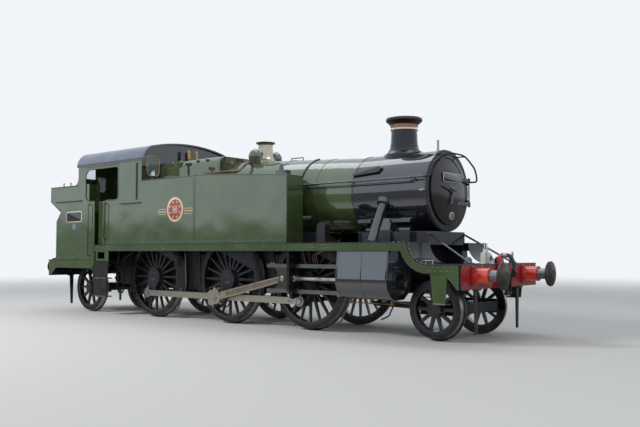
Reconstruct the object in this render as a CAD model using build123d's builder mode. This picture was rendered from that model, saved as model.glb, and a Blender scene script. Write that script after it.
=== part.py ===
from build123d import *
from math import atan2, cos, radians, sin, sqrt
import os

os.makedirs("parts", exist_ok=True)

# A steam locomotive with side tanks, outside cylinders and six coupled wheels,
# carried at each end on a two-wheel truck. Millimetres, X forward, Y left, Z up.
# Zero is at the middle of the length over buffers, at the foot of the wheel flanges.

# Length
length_over_buffers = 12497
buffer_reach = 508
beam_face_x = length_over_buffers / 2 - buffer_reach
beam_thickness = 38
beam_back_x = beam_face_x - beam_thickness
leading_overhang = 780
leading_wheelbase = 2667
front_wheelbase = 2134
rear_wheelbase = 2362
trailing_wheelbase = 2515

# Wheels
back_to_back = 1362
tyre_width = 140
tyre_thickness = 76
flange_depth = 28
flange_thickness = 32
driver_diameter = 1727
leading_diameter = 965
trailing_diameter = 1118
rim_depth = 58
rim_width = 112
spoke_width = 62
spoke_thickness = 46
hub_reach = 860
driver_axle_radius = 95
truck_axle_radius = 80
axle_collar_y = 480

leading_x = beam_face_x - leading_overhang
front_x = leading_x - leading_wheelbase
main_x = front_x - front_wheelbase
rear_x = main_x - rear_wheelbase
trailing_x = rear_x - trailing_wheelbase
driver_z = flange_depth + driver_diameter / 2
leading_z = flange_depth + leading_diameter / 2
trailing_z = flange_depth + trailing_diameter / 2

# Motion
crank_radius = 381
right_crank_angle = 249
left_crank_angle = right_crank_angle + 90
crank_pin_radius = 52
pin_clearance = 1
coupling_rod_inner = 880
coupling_rod_thickness = 50
coupling_rod_depth = 125
coupling_boss_radius = 98
main_boss_radius = 122
pin_cap_thickness = 12
cylinder_rise = 63
cylinder_z = driver_z + cylinder_rise
connecting_rod_length = 1930
rod_flute_depth = 12
connecting_rod_thickness = 76
connecting_rod_small_depth = 112
connecting_rod_big_depth = 146
big_end_thickness = 146
big_end_depth = 286
big_end_length = 330
small_end_radius = 76
gudgeon_radius = 38
slide_bar_width = 150
slide_bar_depth = 70
slide_bar_gap = 195
slide_bar_rear_x = 1510
crosshead_half_length = 190
crosshead_clearance = 1
slipper_thickness = 42
cheek_thickness = 25
piston_rod_radius = 43
piston_rod_length = 1590

# Trucks
leading_pivot_x = leading_x - 1660.5
trailing_pivot_x = trailing_x + 1617.5

# Cylinders
crosshead_run_out = 869.5
cylinder_rear_x = main_x + connecting_rod_length + crank_radius + crosshead_run_out
cylinder_length = 1060
cylinder_front_x = cylinder_rear_x + cylinder_length
cylinder_cladding_radius = 311
cylinder_cover_radius = 235
cylinder_cover_thickness = 40
gland_length = 100
gland_radius = 92

# Frames and footplate
frame_outer_y = 640
frame_thickness = 32
frame_inner_y = frame_outer_y - frame_thickness
footplate_z = 1600
low_plate_z = 1250
plate_thickness = 12
footplate_half_width = 1340
cylinder_y = footplate_half_width - 299
footplate_inner_y = 850
drop_front_x = leading_x + 169.5
drop_rear_x = rear_x - 1567.5
drop_radius = footplate_z - low_plate_z
valance_depth = 130
rear_valance_depth = 180
beam_half_width = footplate_half_width - 20
beam_bottom_z = 863
plate_under_z = footplate_z - plate_thickness
low_under_z = low_plate_z - plate_thickness

# Boiler, smokebox and firebox
smokebox_z = 2493
smokebox_radius = 703
smokebox_wall = 20
smokebox_front_x = cylinder_front_x + 353
smokebox_rear_x = cylinder_rear_x - 160
door_opening_radius = 560
door_radius = 596
door_hinge_y = 640
door_hinge_reach = 55
door_pin_radius = 12
boiler_front_radius = 690
boiler_rear_radius = 780
firebox_front_x = main_x - 331.5
firebox_rear_x = rear_x - 107.5
firebox_top_z = 3428
firebox_half_width = 795
firebox_foot_half_width = 560
seat_gap = 0.3
chimney_x = cylinder_rear_x + 520
chimney_radius = 240
chimney_bore = 190
chimney_top_z = 3848
bonnet_x = main_x + 230.5
bonnet_top_z = 3728
bonnet_skirt_radius = 292
bonnet_waist_radius = 158
bonnet_bore = 120
steam_pipe_radius = 82

# Splashers
splasher_inner_y = 655
splasher_outer_y = 850
splasher_radius = driver_diameter / 2 + flange_depth + 34

# Tanks, cab and bunker
body_half_width = footplate_half_width - 45
sheet_thickness = 8
tank_front_x = front_x - 123.5
tank_inner_y = 850
tank_top_z = 2988
tank_front_top_z = 2848
tank_slope_x = main_x - 199.5
cab_front_x = rear_x + 92.5
cab_rear_x = trailing_x + 177.5
cab_sill_z = 2612
cab_window_top_z = 3360
cab_window_front_x = cab_front_x - 838
cab_window_rear_x = cab_rear_x + 310
window_corners = (150, 100, 60, 190)
doorway_front_x = cab_front_x - 1320
doorway_rear_x = doorway_front_x - 435
eave_z = 3450
roof_crown_z = 3910
roof_shoulder_radius = 350
roof_thickness = 12
roof_overhang = 60
bunker_top_z = 3013
bunker_rear_x = -beam_face_x
bunker_low_rear_x = bunker_rear_x + 270.5
bunker_slope_z = 2170
overhang_foot_z = 2668
bunker_wall = 10
door_ajar_angle = 15
chimney_root_z = 3130
bonnet_root_z = 3180
bonnet_skirt_z = 3318
cut_point_z = 2425
cut_side_z = 2435
gauge_z = 2700
gauge_y = 260

# Shapes shared by several pieces


def side_plane(y):
    """Upright fore and aft plane on the right side, facing out; sketches are in X and Z."""
    return Plane.XZ.offset(y)


def wheel_plane(axle_x, axle_z, side, reach):
    """Plane across a wheel, facing out from the centre line."""
    return Plane(origin=(axle_x, side * reach, axle_z), x_dir=(1, 0, 0), z_dir=(0, side, 0))


def boiler_body(grow):
    """The tapered barrel, level along its foot, grown all round by a fit."""
    rise = boiler_rear_radius - boiler_front_radius
    with BuildPart() as body:
        with BuildSketch(Plane.YZ.offset(smokebox_rear_x)):
            with Locations((0, smokebox_z)):
                Circle(boiler_front_radius + grow)
        with BuildSketch(Plane.YZ.offset(firebox_front_x)):
            with Locations((0, smokebox_z + rise)):
                Circle(boiler_rear_radius + grow)
        loft()
    return body.part


def firebox_body(grow):
    """The flat-topped firebox with rounded shoulders, waisted to pass between the frames."""
    half = firebox_half_width + grow
    foot = firebox_foot_half_width + grow
    with BuildPart() as body:
        with BuildSketch(Plane.YZ.offset(firebox_rear_x - grow)) as section_sketch:
            with BuildLine():
                Polyline(
                    (-foot, low_plate_z - grow),
                    (-foot, footplate_z + 40),
                    (-half, 2200),
                    (-half, 2900),
                    (-half + 30, firebox_top_z + grow),
                    (half - 30, firebox_top_z + grow),
                    (half, 2900),
                    (half, 2200),
                    (foot, footplate_z + 40),
                    (foot, low_plate_z - grow),
                    close=True,
                )
            make_face()
            fillet(section_sketch.vertices().group_by(Axis.Z)[-1], radius=170)
        extrude(amount=firebox_front_x - firebox_rear_x + grow)
    return body.part


def splasher_disc(axle_x, inner_y, outer_y, radius):
    """A disc over a coupled wheel on the right, kept above the footplate."""
    with BuildPart() as disc:
        with BuildSketch(side_plane(inner_y)):
            with Locations((axle_x, driver_z)):
                Circle(radius)
            with Locations((axle_x, footplate_z - radius)):
                Rectangle(3 * radius, 2 * radius, mode=Mode.SUBTRACT)
        extrude(amount=outer_y - inner_y)
    return disc.part


def spoked_centre(plane, radius, hub_radius, hub_half, spokes, crank_angle, weight_chord):
    """A spoked wheel centre: rim, tapered spokes and hub, with crank boss and balance weight."""
    with BuildPart() as centre:
        with BuildSketch(plane.offset(-rim_width / 2)):
            Circle(radius)
            Circle(radius - rim_depth, mode=Mode.SUBTRACT)
        extrude(amount=rim_width)
        spoke_length = radius - rim_depth - hub_radius + 24
        with BuildSketch(plane):
            with PolarLocations(hub_radius - 12, spokes):
                with Locations((spoke_length / 2, 0)):
                    Trapezoid(spoke_width, spoke_length, 88.4, rotation=-90)
        extrude(amount=spoke_thickness / 2, both=True)
        with BuildSketch(plane.offset(-hub_half)):
            Circle(hub_radius)
        extrude(amount=2 * hub_half)
        if weight_chord:
            with BuildSketch(plane.offset(-34)):
                Circle(radius - rim_depth + 2)
                with Locations(Location((0, 0, 0), (0, 0, crank_angle + 180))):
                    with Locations((weight_chord - 900, 0)):
                        Rectangle(1800, 2400, mode=Mode.SUBTRACT)
            extrude(amount=68)
        if crank_angle is not None:
            pin_at = (crank_radius * cos(radians(crank_angle)), crank_radius * sin(radians(crank_angle)))
            with BuildSketch(plane.offset(-hub_half + 60)):
                Circle(hub_radius - 10)
                with Locations(pin_at):
                    Circle(main_boss_radius - 10)
                make_hull()
            extrude(amount=2 * hub_half - 60)
            with BuildSketch(plane.offset(hub_half)):
                with Locations(pin_at):
                    Circle(crank_pin_radius)
            extrude(amount=coupling_rod_inner + coupling_rod_thickness + 1 - hub_reach)
            with BuildSketch(plane.offset(coupling_rod_inner + coupling_rod_thickness + 1 - hub_reach + hub_half)):
                with Locations(pin_at):
                    Circle(crank_pin_radius + 14)
            extrude(amount=pin_cap_thickness)
    return centre.part


def tyre_ring(axle_x, axle_z, side, radius):
    """A flanged tyre, shrunk on the wheel centre; the profile is turned about the axle."""
    back = side * back_to_back / 2
    face = side * (back_to_back / 2 + tyre_width)
    section_plane = Plane(origin=(axle_x, 0, axle_z), x_dir=(0, 1, 0), z_dir=(1, 0, 0))
    with BuildPart() as ring:
        with BuildSketch(section_plane):
            with BuildLine():
                Polyline(
                    (back, radius - tyre_thickness),
                    (back, radius + flange_depth - 9),
                    (back + side * 8, radius + flange_depth),
                    (back + side * 18, radius + flange_depth),
                    (back + side * flange_thickness, radius),
                    (face - side * 8, radius - 5),
                    (face, radius - 12),
                    (face, radius - tyre_thickness),
                    close=True,
                )
            make_face()
        revolve(axis=Axis((axle_x, 0, axle_z), (0, 1, 0)))
    return ring.part


# Wheelsets: name, axle place, height, tyre radius, hub radius, spokes, axle radius,
# right crank angle or None, distance of the balance weight's straight edge from the axle
wheelsets = (
    ("leading", leading_x, leading_z, leading_diameter / 2, 128, 10, truck_axle_radius, None, 0),
    ("front", front_x, driver_z, driver_diameter / 2, 200, 20, driver_axle_radius, right_crank_angle, 540),
    ("main", main_x, driver_z, driver_diameter / 2, 200, 20, driver_axle_radius, right_crank_angle, 420),
    ("rear", rear_x, driver_z, driver_diameter / 2, 200, 20, driver_axle_radius, right_crank_angle, 540),
    ("trailing", trailing_x, trailing_z, trailing_diameter / 2, 128, 10, truck_axle_radius, None, 0),
)
hub_half_coupled = 95
hub_half_carrying = 80
for name, axle_x, axle_z, radius, hub_radius, spokes, axle_radius, crank, chord in wheelsets:
    hub_half = hub_half_coupled if crank else hub_half_carrying
    centre_y = hub_reach - hub_half_coupled
    tyres = [tyre_ring(axle_x, axle_z, side, radius) for side in (-1, 1)]
    centres = [
        spoked_centre(
            wheel_plane(axle_x, axle_z, side, centre_y),
            radius - tyre_thickness,
            hub_radius,
            hub_half,
            spokes,
            angle,
            chord,
        )
        for side, angle in ((-1, crank), (1, crank and -left_crank_angle))
    ]
    with BuildPart() as tyre_pair:
        for tyre in tyres:
            add(tyre)
    tyre_pair.part.label = f"{name}_tyres"
    export_step(tyre_pair.part, f"parts/{name}_tyres.step")
    hub_inner_y = centre_y - hub_half - seat_gap
    with BuildPart() as wheel_pair:
        for centre in centres:
            add(centre)
        with BuildSketch(wheel_plane(axle_x, axle_z, 1, -hub_inner_y)):
            Circle(axle_radius)
        extrude(amount=2 * hub_inner_y)
        with BuildSketch(wheel_plane(axle_x, axle_z, 1, -axle_collar_y)):
            Circle(axle_radius + 14)
        extrude(amount=2 * axle_collar_y)
    wheel_pair.part.label = f"{name}_wheels"
    export_step(wheel_pair.part, f"parts/{name}_wheels.step")

# Main frames with their cross stretchers
horn_width = 250
axle_clearance = 1
axlebox_inner_y = frame_inner_y - 60
truck_pin_radius = 40
truck_pivots = ((leading_pivot_x, 450, 620), (trailing_pivot_x, 520, 660))
arch_clearance = 24
leading_arch_z = flange_depth + leading_diameter + flange_depth + arch_clearance
trailing_arch_z = low_under_z - 46
frame_outline = (
    (-beam_back_x, low_under_z),
    (drop_rear_x, low_under_z),
    (drop_rear_x, plate_under_z),
    (drop_front_x - 470, plate_under_z),
    (drop_front_x - 470, low_under_z),
    (beam_back_x, low_under_z),
    (beam_back_x, beam_bottom_z),
    (leading_x + 600, beam_bottom_z),
    (leading_x + 570, leading_arch_z),
    (leading_x - 570, leading_arch_z),
    (leading_x - 660, 700),
    (front_x - 100, 640),
    (rear_x - 500, 640),
    (rear_x - 1500, 700),
    (trailing_x + 700, trailing_arch_z),
    (trailing_x - 690, trailing_arch_z),
    (trailing_x - 760, beam_bottom_z + 40),
    (-beam_back_x, beam_bottom_z + 40),
)
with BuildPart() as main_frames:
    with BuildSketch(side_plane(frame_inner_y)):
        with BuildLine():
            Polyline(*frame_outline, close=True)
        make_face()
        for axle_x in (front_x, main_x, rear_x):
            with Locations((axle_x, driver_z - 240)):
                Rectangle(horn_width, 240, mode=Mode.SUBTRACT)
            with Locations((axle_x, driver_z)):
                Circle(driver_axle_radius + axle_clearance, mode=Mode.SUBTRACT)
    extrude(amount=frame_thickness)
    # Axleboxes, and a leaf spring slung under each
    with BuildSketch(side_plane(axlebox_inner_y)):
        for axle_x in (front_x, main_x, rear_x):
            with Locations((axle_x, driver_z)):
                Rectangle(horn_width, 300)
                Circle(driver_axle_radius + axle_clearance, mode=Mode.SUBTRACT)
    extrude(amount=frame_outer_y + 14 - axlebox_inner_y)
    leaf_depth = 22
    for half_length, leaf_foot_z in ((460, 590), (370, 568), (270, 546), (160, 524)):
        with BuildSketch(side_plane(frame_inner_y - 40)):
            for axle_x in (front_x, main_x, rear_x):
                with Locations((axle_x, leaf_foot_z + leaf_depth / 2)):
                    Rectangle(2 * half_length, leaf_depth)
        extrude(amount=frame_thickness + 54)
    with BuildSketch(side_plane(frame_inner_y - 46)):
        for axle_x in (front_x, main_x, rear_x):
            with Locations((axle_x, 630)):
                Rectangle(110, 240)
            with Locations((axle_x - 440, 630), (axle_x + 440, 630)):
                Rectangle(50, 130)
    extrude(amount=frame_thickness + 60)
    # Truck pivots: a stretcher with its pin
    for pivot_x, pin_foot_z, stretcher_z in truck_pivots:
        with BuildSketch(Plane.XY.offset(stretcher_z)):
            with Locations((pivot_x, 0)):
                Rectangle(220, 2 * frame_inner_y)
        extrude(amount=60)
        with BuildSketch(Plane.XY.offset(pin_foot_z)):
            with Locations((pivot_x, 0)):
                Circle(truck_pin_radius)
        extrude(amount=stretcher_z - pin_foot_z)
    mirror(about=Plane.XZ)
    # Cross stretchers: place, length, foot, top
    for centre_x, length, foot_z, top_z in (
        (beam_back_x - 110, 220, beam_bottom_z + 60, low_under_z),
        (3900, 900, 1080, 1560),
        (3290, 60, 700, 1500),
        (1226, 40, 700, 1400),
        (drop_rear_x + 260, 40, 760, 1500),
        (-beam_back_x + 110, 220, beam_bottom_z + 60, low_under_z),
    ):
        with BuildSketch(Plane.XY.offset(foot_z)):
            with Locations((centre_x, 0)):
                Rectangle(length, 2 * frame_inner_y)
        extrude(amount=top_z - foot_z)
main_frames.part.label = "main_frames"
export_step(main_frames.part, "parts/main_frames.step")

# Footplate with its dropped ends
with BuildPart() as footplate:
    with BuildSketch(Plane.XY.offset(plate_under_z)):
        for side in (-1, 1):
            with BuildLine():
                Polyline(
                    (drop_rear_x, side * footplate_inner_y),
                    (smokebox_rear_x + 40, side * footplate_inner_y),
                    (smokebox_rear_x + 40, side * frame_outer_y),
                    (drop_front_x - drop_radius, side * frame_outer_y),
                    (drop_front_x - drop_radius, side * footplate_half_width),
                    (drop_rear_x, side * footplate_half_width),
                    close=True,
                )
            make_face()
    extrude(amount=plate_thickness)
    with BuildSketch(Plane.XY.offset(low_under_z)):
        with Locations(((drop_front_x + beam_face_x) / 2, 0)):
            Rectangle(beam_face_x - drop_front_x, 2 * footplate_half_width)
        with Locations(((drop_rear_x - beam_face_x) / 2, 0)):
            Rectangle(beam_face_x + drop_rear_x, 2 * footplate_half_width)
    extrude(amount=plate_thickness)
    with BuildSketch(side_plane(frame_outer_y)):
        with Locations((drop_front_x, footplate_z)):
            Circle(drop_radius + plate_thickness)
            Circle(drop_radius, mode=Mode.SUBTRACT)
        with Locations((drop_front_x + 500, footplate_z)):
            Rectangle(1000, 1200, mode=Mode.SUBTRACT)
        with Locations((drop_front_x - 500, footplate_z + 500)):
            Rectangle(1000, 1000, mode=Mode.SUBTRACT)
    extrude(amount=footplate_half_width - frame_outer_y)
    with BuildSketch(side_plane(footplate_inner_y)):
        with Locations((drop_rear_x + plate_thickness / 2, (footplate_z + low_under_z) / 2)):
            Rectangle(plate_thickness, footplate_z - low_under_z)
    extrude(amount=footplate_half_width - footplate_inner_y)
    mirror(about=Plane.XZ)
footplate.part.label = "footplate"
export_step(footplate.part, "parts/footplate.step")

# Valances hang under the plate edge and follow the drop to the beams
with BuildPart() as valances:
    with BuildSketch(side_plane(footplate_half_width - plate_thickness)):
        with Locations((drop_front_x, footplate_z)):
            Circle(drop_radius + plate_thickness + valance_depth)
            Circle(drop_radius + plate_thickness, mode=Mode.SUBTRACT)
        with Locations((drop_front_x + 500, footplate_z)):
            Rectangle(1000, 1200, mode=Mode.SUBTRACT)
        with Locations((drop_front_x - 500, plate_under_z + 500)):
            Rectangle(1000, 1000, mode=Mode.SUBTRACT)
        with BuildLine():
            Polyline(
                (drop_rear_x + plate_thickness, plate_under_z),
                (drop_front_x - drop_radius - 60, plate_under_z),
                (drop_front_x - drop_radius - 120, plate_under_z - valance_depth),
                (drop_rear_x + plate_thickness, plate_under_z - valance_depth),
                close=True,
            )
        make_face()
        with BuildLine():
            Polyline(
                (drop_front_x, low_under_z),
                (beam_back_x, low_under_z),
                (beam_back_x, beam_bottom_z),
                (beam_back_x - 30, beam_bottom_z),
                (beam_back_x - 250, low_under_z - valance_depth),
                (drop_front_x, low_under_z - valance_depth),
                close=True,
            )
        make_face()
        with BuildLine():
            Polyline(
                (drop_rear_x, low_under_z),
                (drop_rear_x - 80, low_under_z - rear_valance_depth),
                (-beam_back_x + 300, low_under_z - rear_valance_depth),
                (-beam_back_x + 60, beam_bottom_z),
                (-beam_back_x, beam_bottom_z),
                (-beam_back_x, low_under_z),
                close=True,
            )
        make_face()
    extrude(amount=plate_thickness)
    mirror(about=Plane.XZ)
valances.part.label = "valances"
export_step(valances.part, "parts/valances.step")

# Buffer beams
with BuildPart() as buffer_beams:
    for back_x in (beam_back_x, -beam_face_x):
        with BuildSketch(Plane.YZ.offset(back_x)):
            with Locations((0, (beam_bottom_z + low_under_z) / 2)):
                Rectangle(2 * beam_half_width, low_under_z - beam_bottom_z)
        extrude(amount=beam_thickness)
buffer_beams.part.label = "buffer_beams"
export_step(buffer_beams.part, "parts/buffer_beams.step")

# Buffers: taper stocks bolted to the beams, with ram and head
buffer_y = 870
buffer_z = 1073
buffer_head_radius = 210
buffer_head_edge = 26
buffer_flat_radius = 70
stock_reach = 255
stock_flange = 330
stock_radius = 118
ram_radius = 90
for piece in ("stocks", "heads"):
    with BuildPart() as buffers:
        for end in (-1, 1):
            for side in (-1, 1):
                beam_plane = Plane(
                    origin=(end * beam_face_x, side * buffer_y, buffer_z), x_dir=(0, 1, 0), z_dir=(end, 0, 0)
                )
                if piece == "stocks":
                    with BuildSketch(beam_plane):
                        RectangleRounded(stock_flange, stock_flange, 60)
                    extrude(amount=22)
                    with BuildSketch(beam_plane.offset(22)):
                        Circle(stock_radius + 6)
                    with BuildSketch(beam_plane.offset(stock_reach)):
                        Circle(stock_radius)
                    loft()
                    with BuildSketch(beam_plane.offset(stock_reach - 34)):
                        Circle(stock_radius + 8)
                    extrude(amount=34)
                else:
                    head_back = buffer_reach - 62
                    with BuildSketch(beam_plane.offset(stock_reach + seat_gap)):
                        Circle(ram_radius)
                    extrude(amount=head_back - stock_reach - seat_gap)
                    with BuildSketch(beam_plane.offset(head_back - 40)):
                        Circle(ram_radius)
                    with BuildSketch(beam_plane.offset(head_back)):
                        Circle(ram_radius + 34)
                    loft()
                    with BuildSketch(beam_plane.offset(head_back)):
                        Circle(buffer_head_radius)
                    extrude(amount=buffer_head_edge)
                    with BuildSketch(beam_plane.offset(head_back + buffer_head_edge)):
                        Circle(buffer_head_radius)
                    with BuildSketch(beam_plane.offset(buffer_reach)):
                        Circle(buffer_flat_radius)
                    loft()
    buffers.part.label = f"buffer_{piece}"
    export_step(buffers.part, f"parts/buffer_{piece}.step")

# Draw hooks with a screw coupling hung from each
hook_z = buffer_z
hook_reach = 250
with BuildPart() as draw_hooks:
    for end in (-1, 1):
        hook_plane = Plane(origin=(end * beam_face_x, 0, hook_z), x_dir=(end, 0, 0), z_dir=(0, -end, 0))
        with BuildSketch(Plane(origin=(end * beam_face_x, 0, hook_z), x_dir=(0, 1, 0), z_dir=(end, 0, 0))):
            RectangleRounded(180, 230, 20)
        extrude(amount=20)
        with BuildSketch(hook_plane.offset(-26)):
            with BuildLine():
                Polyline(
                    (18, -45),
                    (120, -55),
                    (hook_reach, -30),
                    (hook_reach + 10, 40),
                    (hook_reach - 20, 95),
                    (hook_reach - 60, 60),
                    (hook_reach - 62, 25),
                    (hook_reach - 100, 25),
                    (130, 45),
                    (18, 45),
                    close=True,
                )
            make_face()
        extrude(amount=52)
        # Links hang from a pin through the hook's shank
        with BuildSketch(hook_plane.offset(-70)):
            with Locations((110, 0)):
                Circle(19)
        extrude(amount=140)
        for link_y in (-70, 44):
            with BuildSketch(hook_plane.offset(link_y)):
                with Locations((110, -150)):
                    SlotOverall(380, 60, rotation=90)
            extrude(amount=26)
        with BuildSketch(hook_plane.offset(-90)):
            with Locations((110, -300)):
                Circle(30)
        extrude(amount=180)
draw_hooks.part.label = "draw_hooks"
export_step(draw_hooks.part, "parts/draw_hooks.step")

# Cylinders: the block and its lagging in one outline, bored for the piston rod
with BuildPart() as cylinders:
    with BuildSketch(Plane.YZ.offset(cylinder_rear_x)):
        with BuildLine():
            outer_y = cylinder_y + cylinder_cladding_radius
            quarter = cylinder_cladding_radius * sin(radians(45))
            start = (-frame_outer_y, 800)
            foot = (-cylinder_y, cylinder_z - cylinder_cladding_radius)
            cheek = (-outer_y, cylinder_z + 30)
            Polyline(foot, (-cylinder_y + 190, foot[1] + 6), start, (-frame_outer_y, plate_under_z))
            Polyline(
                (-frame_outer_y, plate_under_z),
                (-outer_y + 69, plate_under_z),
                cheek,
                (-outer_y, cylinder_z),
            )
            ThreePointArc((-outer_y, cylinder_z), (-cylinder_y - quarter, cylinder_z - quarter), foot)
        make_face()
    extrude(amount=cylinder_length)
    with BuildSketch(Plane.YZ.offset(cylinder_rear_x)):
        with Locations((-cylinder_y, cylinder_z)):
            Circle(piston_rod_radius + pin_clearance)
    extrude(amount=cylinder_length - 240, mode=Mode.SUBTRACT)
    mirror(about=Plane.XZ)
cylinders.part.label = "cylinders"
export_step(cylinders.part, "parts/cylinders.step")

# Cylinder covers: plain at the front, with the gland at the rear
with BuildPart() as cylinder_covers:
    with BuildSketch(Plane.YZ.offset(cylinder_front_x)):
        with Locations((-cylinder_y, cylinder_z)):
            Circle(cylinder_cover_radius)
    extrude(amount=cylinder_cover_thickness)
    with BuildSketch(Plane.YZ.offset(cylinder_front_x + cylinder_cover_thickness)):
        with Locations((-cylinder_y, cylinder_z)):
            Circle(cylinder_cover_radius - 60)
    extrude(amount=14)
    # Relief valve low on the cover
    with BuildSketch(Plane.YZ.offset(cylinder_front_x + cylinder_cover_thickness)):
        with Locations((-cylinder_y, cylinder_z - 165)):
            Circle(40)
    extrude(amount=50)
    with BuildSketch(Plane.YZ.offset(cylinder_front_x + cylinder_cover_thickness + 50)):
        with Locations((-cylinder_y, cylinder_z - 165)):
            RegularPolygon(30, 6)
    extrude(amount=45)
    with BuildSketch(Plane.YZ.offset(cylinder_rear_x)):
        with Locations((-cylinder_y, cylinder_z)):
            Circle(cylinder_cover_radius)
    extrude(amount=-cylinder_cover_thickness)
    with BuildSketch(Plane.YZ.offset(cylinder_rear_x - cylinder_cover_thickness)):
        with Locations((-cylinder_y, cylinder_z)):
            Circle(gland_radius)
    extrude(amount=-gland_length)
    with BuildSketch(Plane.YZ.offset(cylinder_rear_x)):
        with Locations((-cylinder_y, cylinder_z)):
            Circle(piston_rod_radius + pin_clearance)
    extrude(amount=-cylinder_cover_thickness - gland_length, mode=Mode.SUBTRACT)
    mirror(about=Plane.XZ)
cylinder_covers.part.label = "cylinder_covers"
export_step(cylinder_covers.part, "parts/cylinder_covers.step")

# Slide bars above and below the piston rod
slide_bar_front_x = cylinder_rear_x - cylinder_cover_thickness
with BuildPart() as slide_bars:
    with BuildSketch(Plane.YZ.offset(slide_bar_rear_x)):
        for level in (-1, 1):
            bar_z = cylinder_z + level * (slide_bar_gap + slide_bar_depth / 2)
            with Locations((-cylinder_y, bar_z)):
                Rectangle(slide_bar_width, slide_bar_depth)
    extrude(amount=slide_bar_front_x - slide_bar_rear_x)
    mirror(about=Plane.XZ)
slide_bars.part.label = "slide_bars"
export_step(slide_bars.part, "parts/slide_bars.step")

# Motion brackets reach round the outside of the slide bars from the footplate
bracket_x = tank_front_x
bracket_thickness = 60
bracket_outer_y = cylinder_y + 221
bracket_limb_y = cylinder_y + 107
bar_outer = slide_bar_gap + slide_bar_depth
with BuildPart() as motion_brackets:
    with BuildSketch(Plane.YZ.offset(bracket_x - bracket_thickness / 2)) as bracket_sketch:
        with BuildLine():
            Polyline(
                (-cylinder_y + 81, plate_under_z),
                (-cylinder_y + 81, cylinder_z + bar_outer),
                (-cylinder_y - slide_bar_width / 2, cylinder_z + bar_outer),
                (-cylinder_y - slide_bar_width / 2 - 8, cylinder_z + slide_bar_gap + 10),
                (-bracket_limb_y, cylinder_z + slide_bar_gap - 30),
                (-bracket_limb_y, cylinder_z - slide_bar_gap + 30),
                (-cylinder_y - slide_bar_width / 2 - 8, cylinder_z - slide_bar_gap - 10),
                (-cylinder_y - slide_bar_width / 2, cylinder_z - bar_outer),
                (-cylinder_y + 75, cylinder_z - bar_outer),
                (-cylinder_y + 75, cylinder_z - bar_outer - 70),
                (-bracket_limb_y - 2, cylinder_z - bar_outer - 104),
                (-bracket_outer_y, cylinder_z - 190),
                (-bracket_outer_y, plate_under_z),
                close=True,
            )
        make_face()
    extrude(amount=bracket_thickness)
    mirror(about=Plane.XZ)
motion_brackets.part.label = "motion_brackets"
export_step(motion_brackets.part, "parts/motion_brackets.step")

# Saddle under the smokebox
saddle_half_y = 520
with BuildPart() as saddle:
    with BuildSketch(Plane.YZ.offset(chimney_x - 420)):
        with BuildLine():
            Polyline(
                (-frame_inner_y, 1560 + seat_gap),
                (-frame_inner_y, 1820),
                (-saddle_half_y, 2040),
                (saddle_half_y, 2040),
                (frame_inner_y, 1820),
                (frame_inner_y, 1560 + seat_gap),
                close=True,
            )
        make_face()
        with Locations((0, smokebox_z)):
            Circle(smokebox_radius + seat_gap, mode=Mode.SUBTRACT)
    extrude(amount=920)
    with BuildSketch(Plane.XY.offset(1560 + seat_gap)):
        with Locations((smokebox_front_x - 213, 0)):
            Rectangle(380, 2 * frame_inner_y)
    extrude(amount=228)
    # Bolting flanges under the smokebox and along the cylinders, before and behind the steam pipes
    for side in (-1, 1):
        for flange_x, flange_length in ((chimney_x - 393, 280), (chimney_x + 355, 410)):
            with BuildSketch(Plane.XY.offset(1945)):
                with Locations((flange_x, side * 600)):
                    Rectangle(flange_length, 180)
            extrude(amount=60)
            with BuildSketch(Plane.XY.offset(footplate_z + seat_gap)):
                with Locations((flange_x + 20, side * 640)):
                    Rectangle(flange_length - 20, 160)
            extrude(amount=180)
    for side in (-1, 1):
        strut_foot = Vector(beam_back_x - 120, side * 750, low_plate_z + 8)
        strut_head = Vector(smokebox_front_x - 63, side * 590, 1768)
        along_strut = strut_foot - strut_head
        with BuildSketch(Plane(origin=strut_head, z_dir=along_strut)):
            Circle(17)
        extrude(amount=along_strut.length)
        with BuildSketch(Plane.XY.offset(low_plate_z)):
            with Locations((beam_back_x - 126, side * 750)):
                Rectangle(90, 110)
        extrude(amount=22)
    with BuildSketch(Plane.XY.offset(low_plate_z)):
        Rectangle(13000, 2600)
    extrude(amount=-40, mode=Mode.SUBTRACT)
saddle.part.label = "saddle"
export_step(saddle.part, "parts/saddle.step")

# Smokebox shell with the door ring
with BuildPart() as smokebox:
    with BuildSketch(Plane.YZ.offset(smokebox_rear_x)):
        with Locations((0, smokebox_z)):
            Circle(smokebox_radius)
            Circle(smokebox_radius - smokebox_wall, mode=Mode.SUBTRACT)
    extrude(amount=smokebox_front_x - smokebox_rear_x - 30)
    with BuildSketch(Plane.YZ.offset(smokebox_front_x - 30)):
        with Locations((0, smokebox_z)):
            Circle(smokebox_radius)
            Circle(door_opening_radius, mode=Mode.SUBTRACT)
    extrude(amount=30)
    with BuildSketch(Plane.XY.offset(smokebox_z)):
        with Locations((chimney_x, 0)):
            Circle(chimney_bore)
    extrude(amount=smokebox_radius + 50, mode=Mode.SUBTRACT)
    # Hinge brackets and pin for the door, on the left
    for level in (-1, 1):
        with BuildSketch(Plane.XY.offset(smokebox_z + level * 149 - 15)):
            with Locations((smokebox_front_x + door_hinge_reach / 2 - 4, door_hinge_y)):
                Rectangle(door_hinge_reach + 18, 28)
        extrude(amount=30)
    with BuildSketch(Plane.XY.offset(smokebox_z - 262)):
        with Locations((smokebox_front_x + door_hinge_reach, door_hinge_y)):
            Circle(door_pin_radius)
    extrude(amount=524)
smokebox.part.label = "smokebox"
export_step(smokebox.part, "parts/smokebox.step")

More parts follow.
